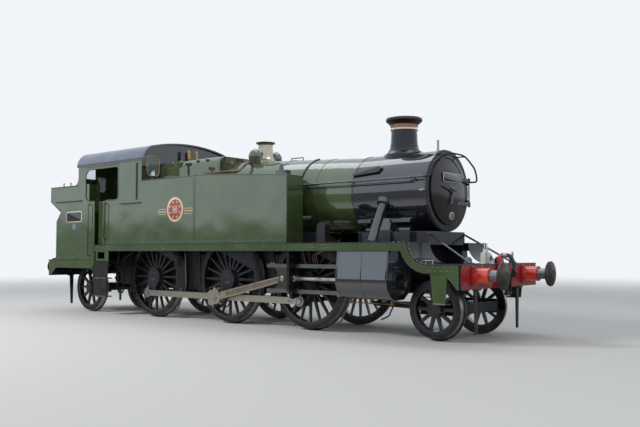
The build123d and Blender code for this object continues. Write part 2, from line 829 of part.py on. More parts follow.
# Smokebox door, dished and turned, hinged on the left
door_gap = 1
door_face_x = smokebox_front_x + door_gap
door_plane = Plane(origin=(door_face_x, 0, smokebox_z), x_dir=(0, 1, 0), z_dir=(1, 0, 0))
door_dish = 84
with BuildPart() as smokebox_door:
    with BuildSketch(Plane(origin=(door_face_x, 0, smokebox_z), x_dir=(0, 1, 0), z_dir=(0, 0, -1))):
        with BuildLine():
            Polyline((0, 0), (door_radius, 0), (door_radius, 22), (door_radius - 14, 30))
            ThreePointArc((door_radius - 14, 30), (330, 70), (0, door_dish))
            Line((0, door_dish), (0, 0))
        make_face()
    revolve(axis=Axis((door_face_x, 0, smokebox_z), (1, 0, 0)))
    for strap_z in (-210, 210):
        with BuildSketch(Plane.YZ.offset(door_face_x + 8)):
            with Locations((370, smokebox_z + strap_z)):
                Rectangle(540, 62)
        extrude(amount=66)
        with BuildSketch(Plane.XY.offset(smokebox_z + strap_z - 40)):
            with Locations((smokebox_front_x + door_hinge_reach, door_hinge_y)):
                Circle(26)
        extrude(amount=80)
        with BuildSketch(Plane.XY.offset(smokebox_z + strap_z - 60)):
            with Locations((smokebox_front_x + door_hinge_reach, door_hinge_y)):
                Circle(door_pin_radius + pin_clearance)
        extrude(amount=120, mode=Mode.SUBTRACT)
    with BuildSketch(door_plane.offset(door_dish - 10)):
        Circle(60)
    extrude(amount=40)
    for dart_angle, dart_reach in ((250, 14), (165, 60)):
        with BuildSketch(door_plane.offset(door_dish + dart_reach)):
            Circle(26)
            with Locations(Location((0, 0, 0), (0, 0, dart_angle))):
                with Locations((130, 0)):
                    Rectangle(260, 26)
        extrude(amount=24)
    with BuildSketch(door_plane.offset(door_dish + 10)):
        Circle(20)
    extrude(amount=80)
smokebox_door.part.label = "smokebox_door"
export_step(smokebox_door.part, "parts/smokebox_door.step")

# Chimney: flange on the smokebox, flared foot and parallel barrel
cap_foot_z = 3628
with BuildPart() as chimney:
    with BuildSketch(Plane.YZ.offset(chimney_x - 400)):
        with Locations((0, smokebox_z)):
            Circle(smokebox_radius + 22)
            Circle(smokebox_radius + seat_gap, mode=Mode.SUBTRACT)
    extrude(amount=800)
    with BuildSketch(Plane.XY.offset(smokebox_z)):
        with Locations((chimney_x, 0)):
            Circle(370)
    extrude(amount=1000, mode=Mode.INTERSECT)
    with BuildSketch(Plane(origin=(chimney_x, 0, 0), x_dir=(1, 0, 0), z_dir=(0, -1, 0))):
        with BuildLine():
            Polyline(
                (0, chimney_root_z),
                (346, chimney_root_z),
                (344, 3186),
                (300, 3236),
                (262, 3300),
                (248, 3370),
                (chimney_radius, 3440),
                (chimney_radius - 6, cap_foot_z),
                (0, cap_foot_z),
                close=True,
            )
        make_face()
    revolve(axis=Axis((chimney_x, 0, 0), (0, 0, 1)))
    with BuildSketch(Plane.YZ.offset(chimney_x - 500)):
        with Locations((0, smokebox_z)):
            Circle(smokebox_radius + seat_gap)
    extrude(amount=1000, mode=Mode.SUBTRACT)
    with BuildSketch(Plane.XY.offset(smokebox_z)):
        with Locations((chimney_x, 0)):
            Circle(chimney_bore)
    extrude(amount=1400, mode=Mode.SUBTRACT)
chimney.part.label = "chimney"
export_step(chimney.part, "parts/chimney.step")

# Copper cap, bell-mouthed with a rolled lip
with BuildPart() as chimney_cap:
    with BuildSketch(Plane(origin=(chimney_x, 0, 0), x_dir=(1, 0, 0), z_dir=(0, -1, 0))):
        with BuildLine():
            Polyline(
                (chimney_bore, cap_foot_z),
                (chimney_radius + 12, cap_foot_z),
                (chimney_radius + 12, cap_foot_z + 24),
                (chimney_radius + 2, cap_foot_z + 40),
                (chimney_radius + 22, cap_foot_z + 104),
                (chimney_radius + 70, cap_foot_z + 150),
                (chimney_radius + 90, cap_foot_z + 168),
                (chimney_radius + 90, chimney_top_z - 16),
                (chimney_radius + 74, chimney_top_z),
                (chimney_bore, chimney_top_z),
                close=True,
            )
        make_face()
    revolve(axis=Axis((chimney_x, 0, 0), (0, 0, 1)))
chimney_cap.part.label = "chimney_cap"
export_step(chimney_cap.part, "parts/chimney_cap.step")

# Splashers over the coupled wheels
with BuildPart() as splashers:
    for axle_x in (front_x, main_x, rear_x):
        add(splasher_disc(axle_x, splasher_inner_y, splasher_outer_y, splasher_radius))
        add(
            splasher_disc(axle_x, splasher_inner_y, splasher_outer_y - 6, splasher_radius - 6),
            mode=Mode.SUBTRACT,
        )
    mirror(about=Plane.XZ)
splashers.part.label = "splashers"
export_step(splashers.part, "parts/splashers.step")

# Boiler barrel and firebox
boiler = boiler_body(0)
boiler.label = "boiler"
export_step(boiler, "parts/boiler.step")
firebox = firebox_body(0)
firebox.label = "firebox"
export_step(firebox, "parts/firebox.step")

# Ashpan between the frames
with BuildPart() as ashpan:
    with BuildSketch(side_plane(-520)):
        with BuildLine():
            Polyline(
                (firebox_front_x - 60, low_plate_z),
                (firebox_front_x - 60, 620),
                (rear_x + 700, 560),
                (rear_x + 300, 700),
                (rear_x + 150, 1060),
                (rear_x - 60, 1100),
                (rear_x - 60, low_plate_z),
                close=True,
            )
        make_face()
    extrude(amount=1040)
ashpan.part.label = "ashpan"
export_step(ashpan.part, "parts/ashpan.step")



def bonnet(grow):
    """The bonnet turned about its upright axis, its foot left long to be cut to the boiler."""
    with BuildPart() as turned:
        with BuildSketch(Plane(origin=(bonnet_x, 0, 0), x_dir=(1, 0, 0), z_dir=(0, -1, 0))):
            with BuildLine():
                skirt, waist = bonnet_skirt_radius + grow, bonnet_waist_radius + grow
                Polyline((0, bonnet_root_z), (skirt, bonnet_root_z), (skirt, bonnet_skirt_z))
                ThreePointArc((skirt, bonnet_skirt_z), (waist + 42, 3372), (waist, 3480))
                Polyline(
                    (waist, 3480),
                    (waist - 8, bonnet_top_z - 60),
                    (waist + 4, bonnet_top_z - 36),
                    (waist + 44, bonnet_top_z - 22),
                    (waist + 44, bonnet_top_z),
                    (bonnet_bore, bonnet_top_z),
                    (bonnet_bore, bonnet_top_z - 60),
                    (0, bonnet_top_z - 60),
                    (0, bonnet_root_z),
                )
            make_face()
        revolve(axis=Axis((bonnet_x, 0, 0), (0, 0, 1)))
    return turned.part


# Safety valve bonnet, spun brass
boiler_seat = boiler_body(seat_gap)
with BuildPart() as safety_valve_bonnet:
    add(bonnet(0))
    add(boiler_seat, mode=Mode.SUBTRACT)
safety_valve_bonnet.part.label = "safety_valve_bonnet"
export_step(safety_valve_bonnet.part, "parts/safety_valve_bonnet.step")

# Top feed covers, egg-shaped, beside the safety valves
feed_cover_y = 316
feed_cover_radius = 128
feed_cover_top_z = 3567


def feed_cover(side, grow):
    """One cover turned about its upright axis, its foot left long to be cut to the boiler."""
    shoulder_z = feed_cover_top_z - 150
    with BuildPart() as cover:
        with BuildSketch(Plane(origin=(bonnet_x, side * feed_cover_y, 0), x_dir=(1, 0, 0), z_dir=(0, -1, 0))):
            with BuildLine():
                radius = feed_cover_radius + grow
                Polyline((0, 3050), (radius * 0.78, 3050), (radius * 0.82, 3240), (radius, shoulder_z - 40))
                ThreePointArc(
                    (radius, shoulder_z - 40),
                    (radius * 0.72, feed_cover_top_z - 52 + grow),
                    (0, feed_cover_top_z + grow),
                )
                Line((0, feed_cover_top_z + grow), (0, 3050))
            make_face()
        revolve(axis=Axis((bonnet_x, side * feed_cover_y, 0), (0, 0, 1)))
    return cover.part


with BuildPart() as feed_covers:
    for side in (-1, 1):
        add(feed_cover(side, 0))
    add(boiler_seat, mode=Mode.SUBTRACT)
    # Left clear of the safety valve bonnet
    add(bonnet(seat_gap), mode=Mode.SUBTRACT)
feed_covers.part.label = "feed_covers"
export_step(feed_covers.part, "parts/feed_covers.step")

# Outside steam pipes from the smokebox down to the cylinders
pipe_foot_y = 1040
pipe_top_y = 640
pipe_top_z = 2300
with BuildPart() as steam_pipes:
    drop = Vector(0, -(pipe_foot_y - pipe_top_y), footplate_z - pipe_top_z)
    pipe_plane = Plane(origin=(chimney_x, -pipe_foot_y, footplate_z), x_dir=(1, 0, 0), z_dir=-drop.normalized())
    with BuildSketch(pipe_plane):
        Circle(steam_pipe_radius)
    extrude(amount=drop.length + 60)
    with BuildSketch(pipe_plane.offset(drop.length - 44)):
        Circle(122)
    extrude(amount=90)
    with BuildSketch(Plane.XY.offset(footplate_z)):
        with Locations((chimney_x, -pipe_foot_y)):
            Circle(118)
    extrude(amount=26)
    with BuildSketch(Plane.YZ.offset(chimney_x - 400)):
        with Locations((0, smokebox_z)):
            Circle(smokebox_radius + seat_gap)
    extrude(amount=800, mode=Mode.SUBTRACT)
    with BuildSketch(Plane.XY.offset(footplate_z)):
        with Locations((chimney_x, -pipe_foot_y)):
            Rectangle(600, 600)
    extrude(amount=-300, mode=Mode.SUBTRACT)
    mirror(about=Plane.XZ)
steam_pipes.part.label = "steam_pipes"
export_step(steam_pipes.part, "parts/steam_pipes.step")

# Tank lids, round, hinged on the outer side
lid_x = firebox_front_x - 1078
lid_y = body_half_width - 225
lid_radius = 190
lid_gap = 1
lid_pin_radius = 7
lid_hinge_y = body_half_width - 17
lid_hinge_z = tank_top_z + 25

# Side tanks: tall ahead of the cab, low beside the footplatemen
tank_cab_joint_x = cab_front_x + sheet_thickness / 2
tank_rear_top_z = cab_sill_z - 30
with BuildPart() as side_tanks:
    with BuildSketch(side_plane(tank_inner_y)):
        with BuildLine():
            Polyline(
                (tank_cab_joint_x, footplate_z),
                (tank_front_x, footplate_z),
                (tank_front_x, tank_front_top_z),
                (tank_slope_x, tank_top_z),
                (tank_cab_joint_x, tank_top_z),
                close=True,
            )
        make_face()
    extrude(amount=body_half_width - tank_inner_y)
    with BuildSketch(side_plane(body_half_width)):
        with Locations(((tank_cab_joint_x + tank_front_x) / 2, footplate_z + 32)):
            Rectangle(tank_front_x - tank_cab_joint_x, 64)
    extrude(amount=10)
    # Lugs and pin for each lid's hinge
    for lug_x in (lid_x - 58, lid_x + 58):
        with BuildSketch(Plane.YZ.offset(lug_x - 9)):
            with Locations((-lid_hinge_y, lid_hinge_z)):
                Circle(lid_pin_radius + 5)
            with Locations((-lid_hinge_y, (tank_top_z + lid_hinge_z) / 2)):
                Rectangle(2 * lid_pin_radius + 6, lid_hinge_z - tank_top_z)
        extrude(amount=18)
    with BuildSketch(Plane.YZ.offset(lid_x - 58)):
        with Locations((-lid_hinge_y, lid_hinge_z)):
            Circle(lid_pin_radius)
    extrude(amount=116)
    mirror(about=Plane.XZ)
side_tanks.part.label = "side_tanks"
export_step(side_tanks.part, "parts/side_tanks.step")

for lid_name, side in (("tank_lid_right", -1), ("tank_lid_left", 1)):
    with BuildPart() as tank_lid:
        with BuildSketch(Plane.XY.offset(tank_top_z + lid_gap)):
            with Locations((lid_x, side * lid_y)):
                Circle(lid_radius)
        extrude(amount=40)
        with BuildSketch(Plane.XY.offset(tank_top_z + lid_gap + 40)):
            with Locations((lid_x, side * lid_y)):
                Rectangle(56, 250)
        extrude(amount=22)
        hinge_side_plane = Plane.YZ.offset(lid_x - 46)
        with BuildSketch(hinge_side_plane):
            with Locations((side * lid_hinge_y, lid_hinge_z)):
                Circle(lid_pin_radius + 6)
            with Locations((side * (lid_hinge_y - 24), lid_hinge_z)):
                Rectangle(48, 2 * lid_pin_radius + 6)
            with Locations((side * lid_hinge_y, lid_hinge_z)):
                Circle(lid_pin_radius + pin_clearance, mode=Mode.SUBTRACT)
        extrude(amount=92)
    tank_lid.part.label = lid_name
    export_step(tank_lid.part, f"parts/{lid_name}.step")

# Cab doors, half height, hinged at the front jamb; the right one stands a little ajar
door_hinge_gap = 18
door_pin_clear = 2
door_hinge_levels = (1760, 2440)
door_foot_z = footplate_z + 6
door_height = cab_sill_z - footplate_z - 12
door_width = doorway_front_x - doorway_rear_x - door_hinge_gap - 8
cab_door_thickness = 22
cab_hinge_x = doorway_front_x - door_hinge_gap
cab_hinge_y = body_half_width - sheet_thickness / 2



def cab_window():
    """The side window, each corner with its own radius: rear and front low, then front and rear high."""
    corners = (
        (cab_window_rear_x, cab_sill_z),
        (cab_window_front_x, cab_sill_z),
        (cab_window_front_x, cab_window_top_z),
        (cab_window_rear_x, cab_window_top_z),
    )
    with BuildSketch() as window:
        with BuildLine():
            Polyline(*corners, close=True)
        make_face()
        for corner, radius in zip(corners, window_corners):
            fillet(window.vertices().sort_by_distance((*corner, 0))[0], radius=radius)
    return window.sketch


# Cab side sheets with window and doorway
with BuildPart() as cab_sides:
    with BuildSketch(side_plane(body_half_width - sheet_thickness)) as cab_side_sketch:
        with BuildLine():
            Polyline(
                (tank_cab_joint_x, footplate_z),
                (tank_cab_joint_x, eave_z),
                (cab_rear_x, eave_z),
                (cab_rear_x, low_plate_z),
                (drop_rear_x, low_plate_z),
                (drop_rear_x, footplate_z),
                close=True,
            )
        make_face()
        add(cab_window(), mode=Mode.SUBTRACT)
        with Locations(((doorway_front_x + doorway_rear_x) / 2, (footplate_z + cab_sill_z + 60) / 2)):
            Rectangle(doorway_front_x - doorway_rear_x, cab_sill_z + 60 - footplate_z, mode=Mode.SUBTRACT)
    extrude(amount=sheet_thickness)
    # Pins for the door hinges, each held by two ears on the front jamb
    for hinge_z in door_hinge_levels:
        for ear_z in (hinge_z - 34, hinge_z + 22):
            with BuildSketch(Plane.XY.offset(ear_z)):
                with Locations(((doorway_front_x + cab_hinge_x) / 2, -cab_hinge_y)):
                    Rectangle(door_hinge_gap + 2 * door_pin_clear, 10)
                with Locations((cab_hinge_x, -cab_hinge_y)):
                    Circle(8)
            extrude(amount=12)
        with BuildSketch(Plane.XY.offset(hinge_z - 34)):
            with Locations((cab_hinge_x, -cab_hinge_y)):
                Circle(6)
        extrude(amount=68)
    mirror(about=Plane.XZ)
cab_sides.part.label = "cab_sides"
export_step(cab_sides.part, "parts/cab_sides.step")

# Roof section: flat crown running into round shoulders
roof_rise = roof_crown_z - eave_z
crown_radius = (body_half_width - roof_shoulder_radius) ** 2 + roof_rise**2 - roof_shoulder_radius**2
crown_radius = crown_radius / (2 * (roof_rise - roof_shoulder_radius))
shoulder_y = body_half_width - roof_shoulder_radius
tangent_angle = atan2(crown_radius - roof_crown_z + eave_z, shoulder_y)


def roof_face(inset):
    """Half outlines of the roof in Y and Z, drawn inset from the outside, closed along the eaves."""
    bend = roof_shoulder_radius - inset
    crown = crown_radius - inset
    crown_centre_z = roof_crown_z - crown_radius
    meet = (shoulder_y + bend * cos(tangent_angle), eave_z + bend * sin(tangent_angle))
    half_angle = tangent_angle / 2
    shoulder_mid = (shoulder_y + bend * cos(half_angle), eave_z + bend * sin(half_angle))
    with BuildSketch() as face:
        with BuildLine():
            Line((-body_half_width + inset, eave_z), (body_half_width - inset, eave_z))
            ThreePointArc((body_half_width - inset, eave_z), shoulder_mid, meet)
            ThreePointArc(meet, (0, crown_centre_z + crown), (-meet[0], meet[1]))
            ThreePointArc(
                (-meet[0], meet[1]),
                (-shoulder_mid[0], shoulder_mid[1]),
                (-body_half_width + inset, eave_z),
            )
        make_face()
    return face.sketch


with BuildPart() as cab_roof:
    with BuildSketch(Plane.YZ.offset(cab_rear_x - roof_overhang)):
        add(roof_face(0))
        add(roof_face(roof_thickness), mode=Mode.SUBTRACT)
    extrude(amount=cab_front_x - cab_rear_x + 2 * roof_overhang)
cab_roof.part.label = "cab_roof"
export_step(cab_roof.part, "parts/cab_roof.step")

# Cab front and rear sheets with their windows
end_half_width = body_half_width - sheet_thickness
spectacle_width = 330
with BuildPart() as cab_ends:
    for sheet_x in (cab_front_x, cab_rear_x + sheet_thickness / 2):
        with BuildSketch(Plane.YZ.offset(sheet_x - sheet_thickness / 2)):
            add(roof_face(roof_thickness + seat_gap))
            with Locations((0, (footplate_z + eave_z) / 2)):
                Rectangle(2 * end_half_width, eave_z - footplate_z)
            for side in (-1, 1):
                with Locations((side * 985, 3330)):
                    RectangleRounded(spectacle_width, 440, 90, mode=Mode.SUBTRACT)
        extrude(amount=sheet_thickness)
    add(firebox_body(2), mode=Mode.SUBTRACT)
    splasher_gap = splasher_disc(rear_x, 540, splasher_outer_y + seat_gap, splasher_radius + seat_gap)
    add(splasher_gap, mode=Mode.SUBTRACT)
    add(mirror(splasher_gap, about=Plane.XZ, mode=Mode.PRIVATE), mode=Mode.SUBTRACT)
cab_ends.part.label = "cab_ends"
export_step(cab_ends.part, "parts/cab_ends.step")

# Cab floor and the tank ends that stand inside the cab
with BuildPart() as cab_floor:
    with BuildSketch(Plane.XY.offset(footplate_z)):
        with Locations(((cab_rear_x + firebox_rear_x) / 2, 0)):
            Rectangle(firebox_rear_x - cab_rear_x - 2 * sheet_thickness, 2 * tank_inner_y)
    extrude(amount=24)
    add(splasher_gap, mode=Mode.SUBTRACT)
    add(mirror(splasher_gap, about=Plane.XZ, mode=Mode.PRIVATE), mode=Mode.SUBTRACT)
    with BuildSketch(Plane.XY.offset(footplate_z)):
        for side in (-1, 1):
            middle_x = (doorway_front_x + 20 + cab_front_x - sheet_thickness) / 2
            with Locations((middle_x, side * (tank_inner_y + end_half_width) / 2)):
                Rectangle(
                    cab_front_x - sheet_thickness - doorway_front_x - 20, end_half_width - tank_inner_y - 2 * seat_gap
                )
    extrude(amount=tank_rear_top_z - footplate_z)
    # Tall locker at the rear on the right
    with BuildSketch(Plane.XY.offset(footplate_z)):
        with Locations((cab_rear_x + sheet_thickness + seat_gap + 215, -body_half_width + 130)):
            Rectangle(430, 235)
    extrude(amount=1430)
cab_floor.part.label = "cab_floor"
export_step(cab_floor.part, "parts/cab_floor.step")

for door_name, side in (("cab_door_right", -1), ("cab_door_left", 1)):
    turn = radians(door_ajar_angle)
    away = Vector(-cos(turn), -side * sin(turn), 0)
    door_side_plane = Plane(
        origin=(cab_hinge_x, side * cab_hinge_y, door_foot_z),
        x_dir=away,
        z_dir=(0, 0, 1),
    )
    with BuildPart() as cab_door:
        with BuildSketch(door_side_plane):
            with Locations((door_width / 2 + 7, 0)):
                Rectangle(door_width - 14, cab_door_thickness)
        extrude(amount=door_height)
        for hinge_z in door_hinge_levels:
            with BuildSketch(door_side_plane.offset(hinge_z - 20 - door_foot_z)):
                Circle(12)
                with Locations((12, 0)):
                    Rectangle(24, 12)
                Circle(6 + pin_clearance, mode=Mode.SUBTRACT)
            extrude(amount=40)
    cab_door.part.label = door_name
    export_step(cab_door.part, f"parts/{door_name}.step")

# Bunker: overhanging at the top, its lower corners cut away, hollow for coal above its water space
coal_floor_z = 2150
coal_rear_x = bunker_low_rear_x + 250
with BuildPart() as bunker:
    with BuildSketch(side_plane(-body_half_width)):
        with BuildLine():
            Polyline(
                (cab_rear_x, eave_z - 60),
                (cab_rear_x, low_plate_z),
                (bunker_low_rear_x, low_plate_z),
                (bunker_low_rear_x, bunker_slope_z),
                (bunker_rear_x, overhang_foot_z),
                (bunker_rear_x, bunker_top_z),
                (cab_rear_x - 190, bunker_top_z),
            )
            ThreePointArc(
                (cab_rear_x - 190, bunker_top_z),
                (cab_rear_x - 60, bunker_top_z + 50),
                (cab_rear_x, bunker_top_z + 180),
            )
            Line((cab_rear_x, bunker_top_z + 180), (cab_rear_x, eave_z - 60))
        make_face()
    extrude(amount=2 * body_half_width)
    with BuildSketch(Plane.XY.offset(coal_floor_z)):
        with Locations(((cab_rear_x + coal_rear_x) / 2, 0)):
            Rectangle(cab_rear_x - coal_rear_x - 2 * bunker_wall, 2 * (body_half_width - bunker_wall))
    extrude(amount=2000, mode=Mode.SUBTRACT)
    # The overhang's lower corners fall away to a point inside
    for side in (-1, 1):
        with BuildSketch(Plane.XZ.offset(-side * (body_half_width + 4))):
            with BuildLine():
                Polyline(
                    (bunker_rear_x - 60, overhang_foot_z + 28),
                    (bunker_low_rear_x + 230, cut_side_z),
                    (bunker_low_rear_x - 6, bunker_slope_z - 10),
                    (bunker_low_rear_x - 90, bunker_slope_z - 10),
                    close=True,
                )
            make_face()
        with BuildSketch(Plane.XZ.offset(-side * (body_half_width - 190))):
            with Locations((bunker_low_rear_x - 150, cut_point_z)):
                Rectangle(2, 2)
        loft(mode=Mode.SUBTRACT)
    # Angle along the foot of the bunker
    for side in (-1, 1):
        with BuildSketch(Plane.XZ.offset(-side * body_half_width)):
            with Locations(((cab_rear_x + bunker_low_rear_x) / 2, low_plate_z + 30)):
                Rectangle(cab_rear_x - bunker_low_rear_x, 60)
        extrude(amount=-side * 10)
    with BuildSketch(Plane.XY.offset(overhang_foot_z + 34)):
        with Locations(((cab_rear_x + bunker_rear_x) / 2, 0)):
            Rectangle(cab_rear_x - bunker_rear_x - 2 * bunker_wall, 2 * (body_half_width - bunker_wall))
    extrude(amount=2000, mode=Mode.SUBTRACT)
bunker.part.label = "bunker"
export_step(bunker.part, "parts/bunker.step")

# Crank pins and rods. Table: side name, side, crank angle
sides = (("right", -1, right_crank_angle), ("left", 1, left_crank_angle))
for side_name, side, angle in sides:
    pin_dx = crank_radius * cos(radians(angle))
    pin_dz = crank_radius * sin(radians(angle))
    rod_plane = Plane(
        origin=(0, side * (coupling_rod_inner + coupling_rod_thickness / 2), 0), x_dir=(1, 0, 0), z_dir=(0, -1, 0)
    )
    pins = [(axle_x + pin_dx, driver_z + pin_dz) for axle_x in (front_x, main_x, rear_x)]
    with BuildPart() as coupling_rods:
        with BuildSketch(rod_plane):
            for near, far in ((pins[0], pins[1]), (pins[1], pins[2])):
                with Locations(((near[0] + far[0]) / 2, near[1])):
                    Rectangle(near[0] - far[0], coupling_rod_depth)
            with Locations(pins[0], pins[2]):
                Circle(coupling_boss_radius)
            with Locations(pins[1]):
                Circle(main_boss_radius)
            with Locations(*pins):
                Circle(crank_pin_radius + pin_clearance, mode=Mode.SUBTRACT)
        extrude(amount=coupling_rod_thickness / 2, both=True)
    coupling_rods.part.label = f"coupling_rods_{side_name}"
    export_step(coupling_rods.part, f"parts/coupling_rods_{side_name}.step")

    # Connecting rod from the crosshead down to the main crank pin
    big_end = pins[1]
    rod_fall = cylinder_z - big_end[1]
    crosshead_x = big_end[0] + sqrt(connecting_rod_length**2 - rod_fall**2)
    rod_direction = Vector(big_end[0] - crosshead_x, 0, -rod_fall)
    along_rod = Plane(
        origin=(crosshead_x, side * cylinder_y, cylinder_z), x_dir=rod_direction.normalized(), z_dir=(0, 1, 0)
    )
    with BuildPart() as connecting_rod:
        with BuildSketch(along_rod):
            with BuildLine():
                Polyline(
                    (0, connecting_rod_small_depth / 2),
                    (connecting_rod_length - 100, connecting_rod_big_depth / 2),
                    (connecting_rod_length - 100, -connecting_rod_big_depth / 2),
                    (0, -connecting_rod_small_depth / 2),
                    close=True,
                )
            make_face()
            Circle(small_end_radius)
            Circle(gudgeon_radius + pin_clearance, mode=Mode.SUBTRACT)
        extrude(amount=connecting_rod_thickness / 2, both=True)
        with BuildSketch(along_rod):
            with Locations((connecting_rod_length, 0)):
                RectangleRounded(big_end_length, big_end_depth, 60)
        extrude(amount=big_end_thickness / 2, both=True)
        with BuildSketch(along_rod):
            with Locations((connecting_rod_length, 0)):
                Circle(88)
        extrude(amount=side * (big_end_thickness / 2 + 22))
        for face in (-1, 1):
            with BuildSketch(along_rod.offset(face * (connecting_rod_thickness / 2 - rod_flute_depth))):
                with BuildLine():
                    Polyline(
                        (small_end_radius + 60, connecting_rod_small_depth / 2 - 24),
                        (connecting_rod_length - big_end_length, connecting_rod_big_depth / 2 - 26),
                        (connecting_rod_length - big_end_length, -connecting_rod_big_depth / 2 + 26),
                        (small_end_radius + 60, -connecting_rod_small_depth / 2 + 24),
                        close=True,
                    )
                make_face()
            extrude(amount=face * (rod_flute_depth + 1), mode=Mode.SUBTRACT)
    connecting_rod.part.label = f"connecting_rod_{side_name}"
    export_step(connecting_rod.part, f"parts/connecting_rod_{side_name}.step")

    # Crosshead with slippers, cheeks, gudgeon pin and the piston rod
    crosshead_plane = Plane(origin=(crosshead_x, side * cylinder_y, cylinder_z), x_dir=(1, 0, 0), z_dir=(0, -1, 0))
    slipper_z = slide_bar_gap - crosshead_clearance - slipper_thickness / 2
    half_width = slide_bar_width / 2 - 6
    with BuildPart() as crosshead:
        with BuildSketch(crosshead_plane):
            for level in (-1, 1):
                with Locations((0, level * slipper_z)):
                    Rectangle(2 * crosshead_half_length, slipper_thickness)
            with Locations((crosshead_half_length - 40, 0)):
                Rectangle(80, 2 * slipper_z)
        extrude(amount=half_width, both=True)
        for cheek in (-1, 1):
            with BuildSketch(crosshead_plane.offset(cheek * (half_width - cheek_thickness / 2))):
                with BuildLine():
                    Polyline(
                        (-150, slipper_z),
                        (-96, 0),
                        (-150, -slipper_z),
                        (crosshead_half_length - 10, -slipper_z),
                        (crosshead_half_length - 10, slipper_z),
                        close=True,
                    )
                make_face()
            extrude(amount=cheek_thickness / 2, both=True)
        with BuildSketch(crosshead_plane):
            Circle(gudgeon_radius)
        extrude(amount=half_width + 8, both=True)
        with BuildSketch(Plane.YZ.offset(crosshead_x + crosshead_half_length)):
            with Locations((side * cylinder_y, cylinder_z)):
                Circle(78)
        extrude(amount=110)
        with BuildSketch(Plane.YZ.offset(crosshead_x + crosshead_half_length)):
            with Locations((side * cylinder_y, cylinder_z)):
                Circle(piston_rod_radius)
        extrude(amount=piston_rod_length - crosshead_half_length)
    crosshead.part.label = f"crosshead_{side_name}"
    export_step(crosshead.part, f"parts/crosshead_{side_name}.step")

# Truck frames: name, axle, height, pivot, side plate reach, foot and head of the side plates
trucks = (
    ("leading", leading_x, leading_z, leading_pivot_x, 560, 400, 640),
    ("trailing", trailing_x, trailing_z, trailing_pivot_x, 540, 470, 700),
)
truck_plate = 36
for name, axle_x, axle_z, pivot_x, half_y, foot_z, head_z in trucks:
    towards = 1 if axle_x > pivot_x else -1
    near_x = axle_x - towards * 390
    with BuildPart() as truck_frame:
        with BuildSketch(side_plane(half_y - truck_plate)):
            with Locations((axle_x, (foot_z + head_z) / 2)):
                Rectangle(860, head_z - foot_z)
            with Locations((axle_x, axle_z)):
                Circle(truck_axle_radius + 1, mode=Mode.SUBTRACT)
        extrude(amount=truck_plate)
        mirror(about=Plane.XZ)
        with BuildSketch(Plane.XY.offset(foot_z + 40)):
            with Locations((axle_x - 400, 0), (axle_x + 400, 0)):
                Rectangle(50, 2 * half_y - 10)
        extrude(amount=head_z - foot_z - 80)
        with BuildSketch(Plane.XY.offset(foot_z + 70)):
            with BuildLine():
                Polyline(
                    (near_x, -half_y + 40),
                    (pivot_x, -110),
                    (pivot_x, 110),
                    (near_x, half_y - 40),
                    (near_x, half_y - 150),
                    (pivot_x + towards * 330, 0),
                    (near_x, -half_y + 150),
                    close=True,
                )
            make_face()
            with Locations((pivot_x, 0)):
                Circle(110)
                Circle(truck_pin_radius + pin_clearance, mode=Mode.SUBTRACT)
        extrude(amount=70)
    truck_frame.part.label = f"{name}_truck"
    export_step(truck_frame.part, f"parts/{name}_truck.step")

# Steps: hangers on the valances with their treads
step_inner_y = 1150
step_hanger_y = footplate_half_width - plate_thickness
with BuildPart() as steps:
    # Middle, foot, top, half width at the foot and at the top, tread heights
    for step_x, foot_z, top_z, foot_half, top_half, treads in (
        (drop_front_x + 220, 628, low_under_z - 60, 105, 160, (628,)),
        (drop_rear_x + 210, 418, low_under_z, 230, 330, (418, 828)),
    ):
        with BuildSketch(side_plane(step_hanger_y - 12)):
            with BuildLine():
                Polyline(
                    (step_x - foot_half, foot_z),
                    (step_x + foot_half, foot_z),
                    (step_x + top_half, top_z),
                    (step_x - top_half, top_z),
                    close=True,
                )
            make_face()
        extrude(amount=12)
        for tread_z in treads:
            with BuildSketch(Plane.XY.offset(tread_z)):
                with Locations((step_x, -(step_inner_y + step_hanger_y) / 2)):
                    Rectangle(2 * foot_half, step_hanger_y - step_inner_y)
            extrude(amount=20)
    with BuildSketch(side_plane(step_hanger_y - 12)):
        with Locations((drop_rear_x + 280, (low_under_z + footplate_z - 60) / 2)):
            Rectangle(500, footplate_z - 60 - low_under_z)
        with Locations((drop_rear_x + 242, low_plate_z + 106)):
            Rectangle(270, 150, mode=Mode.SUBTRACT)
    extrude(amount=12)
    mirror(about=Plane.XZ)
steps.part.label = "steps"
export_step(steps.part, "parts/steps.step")

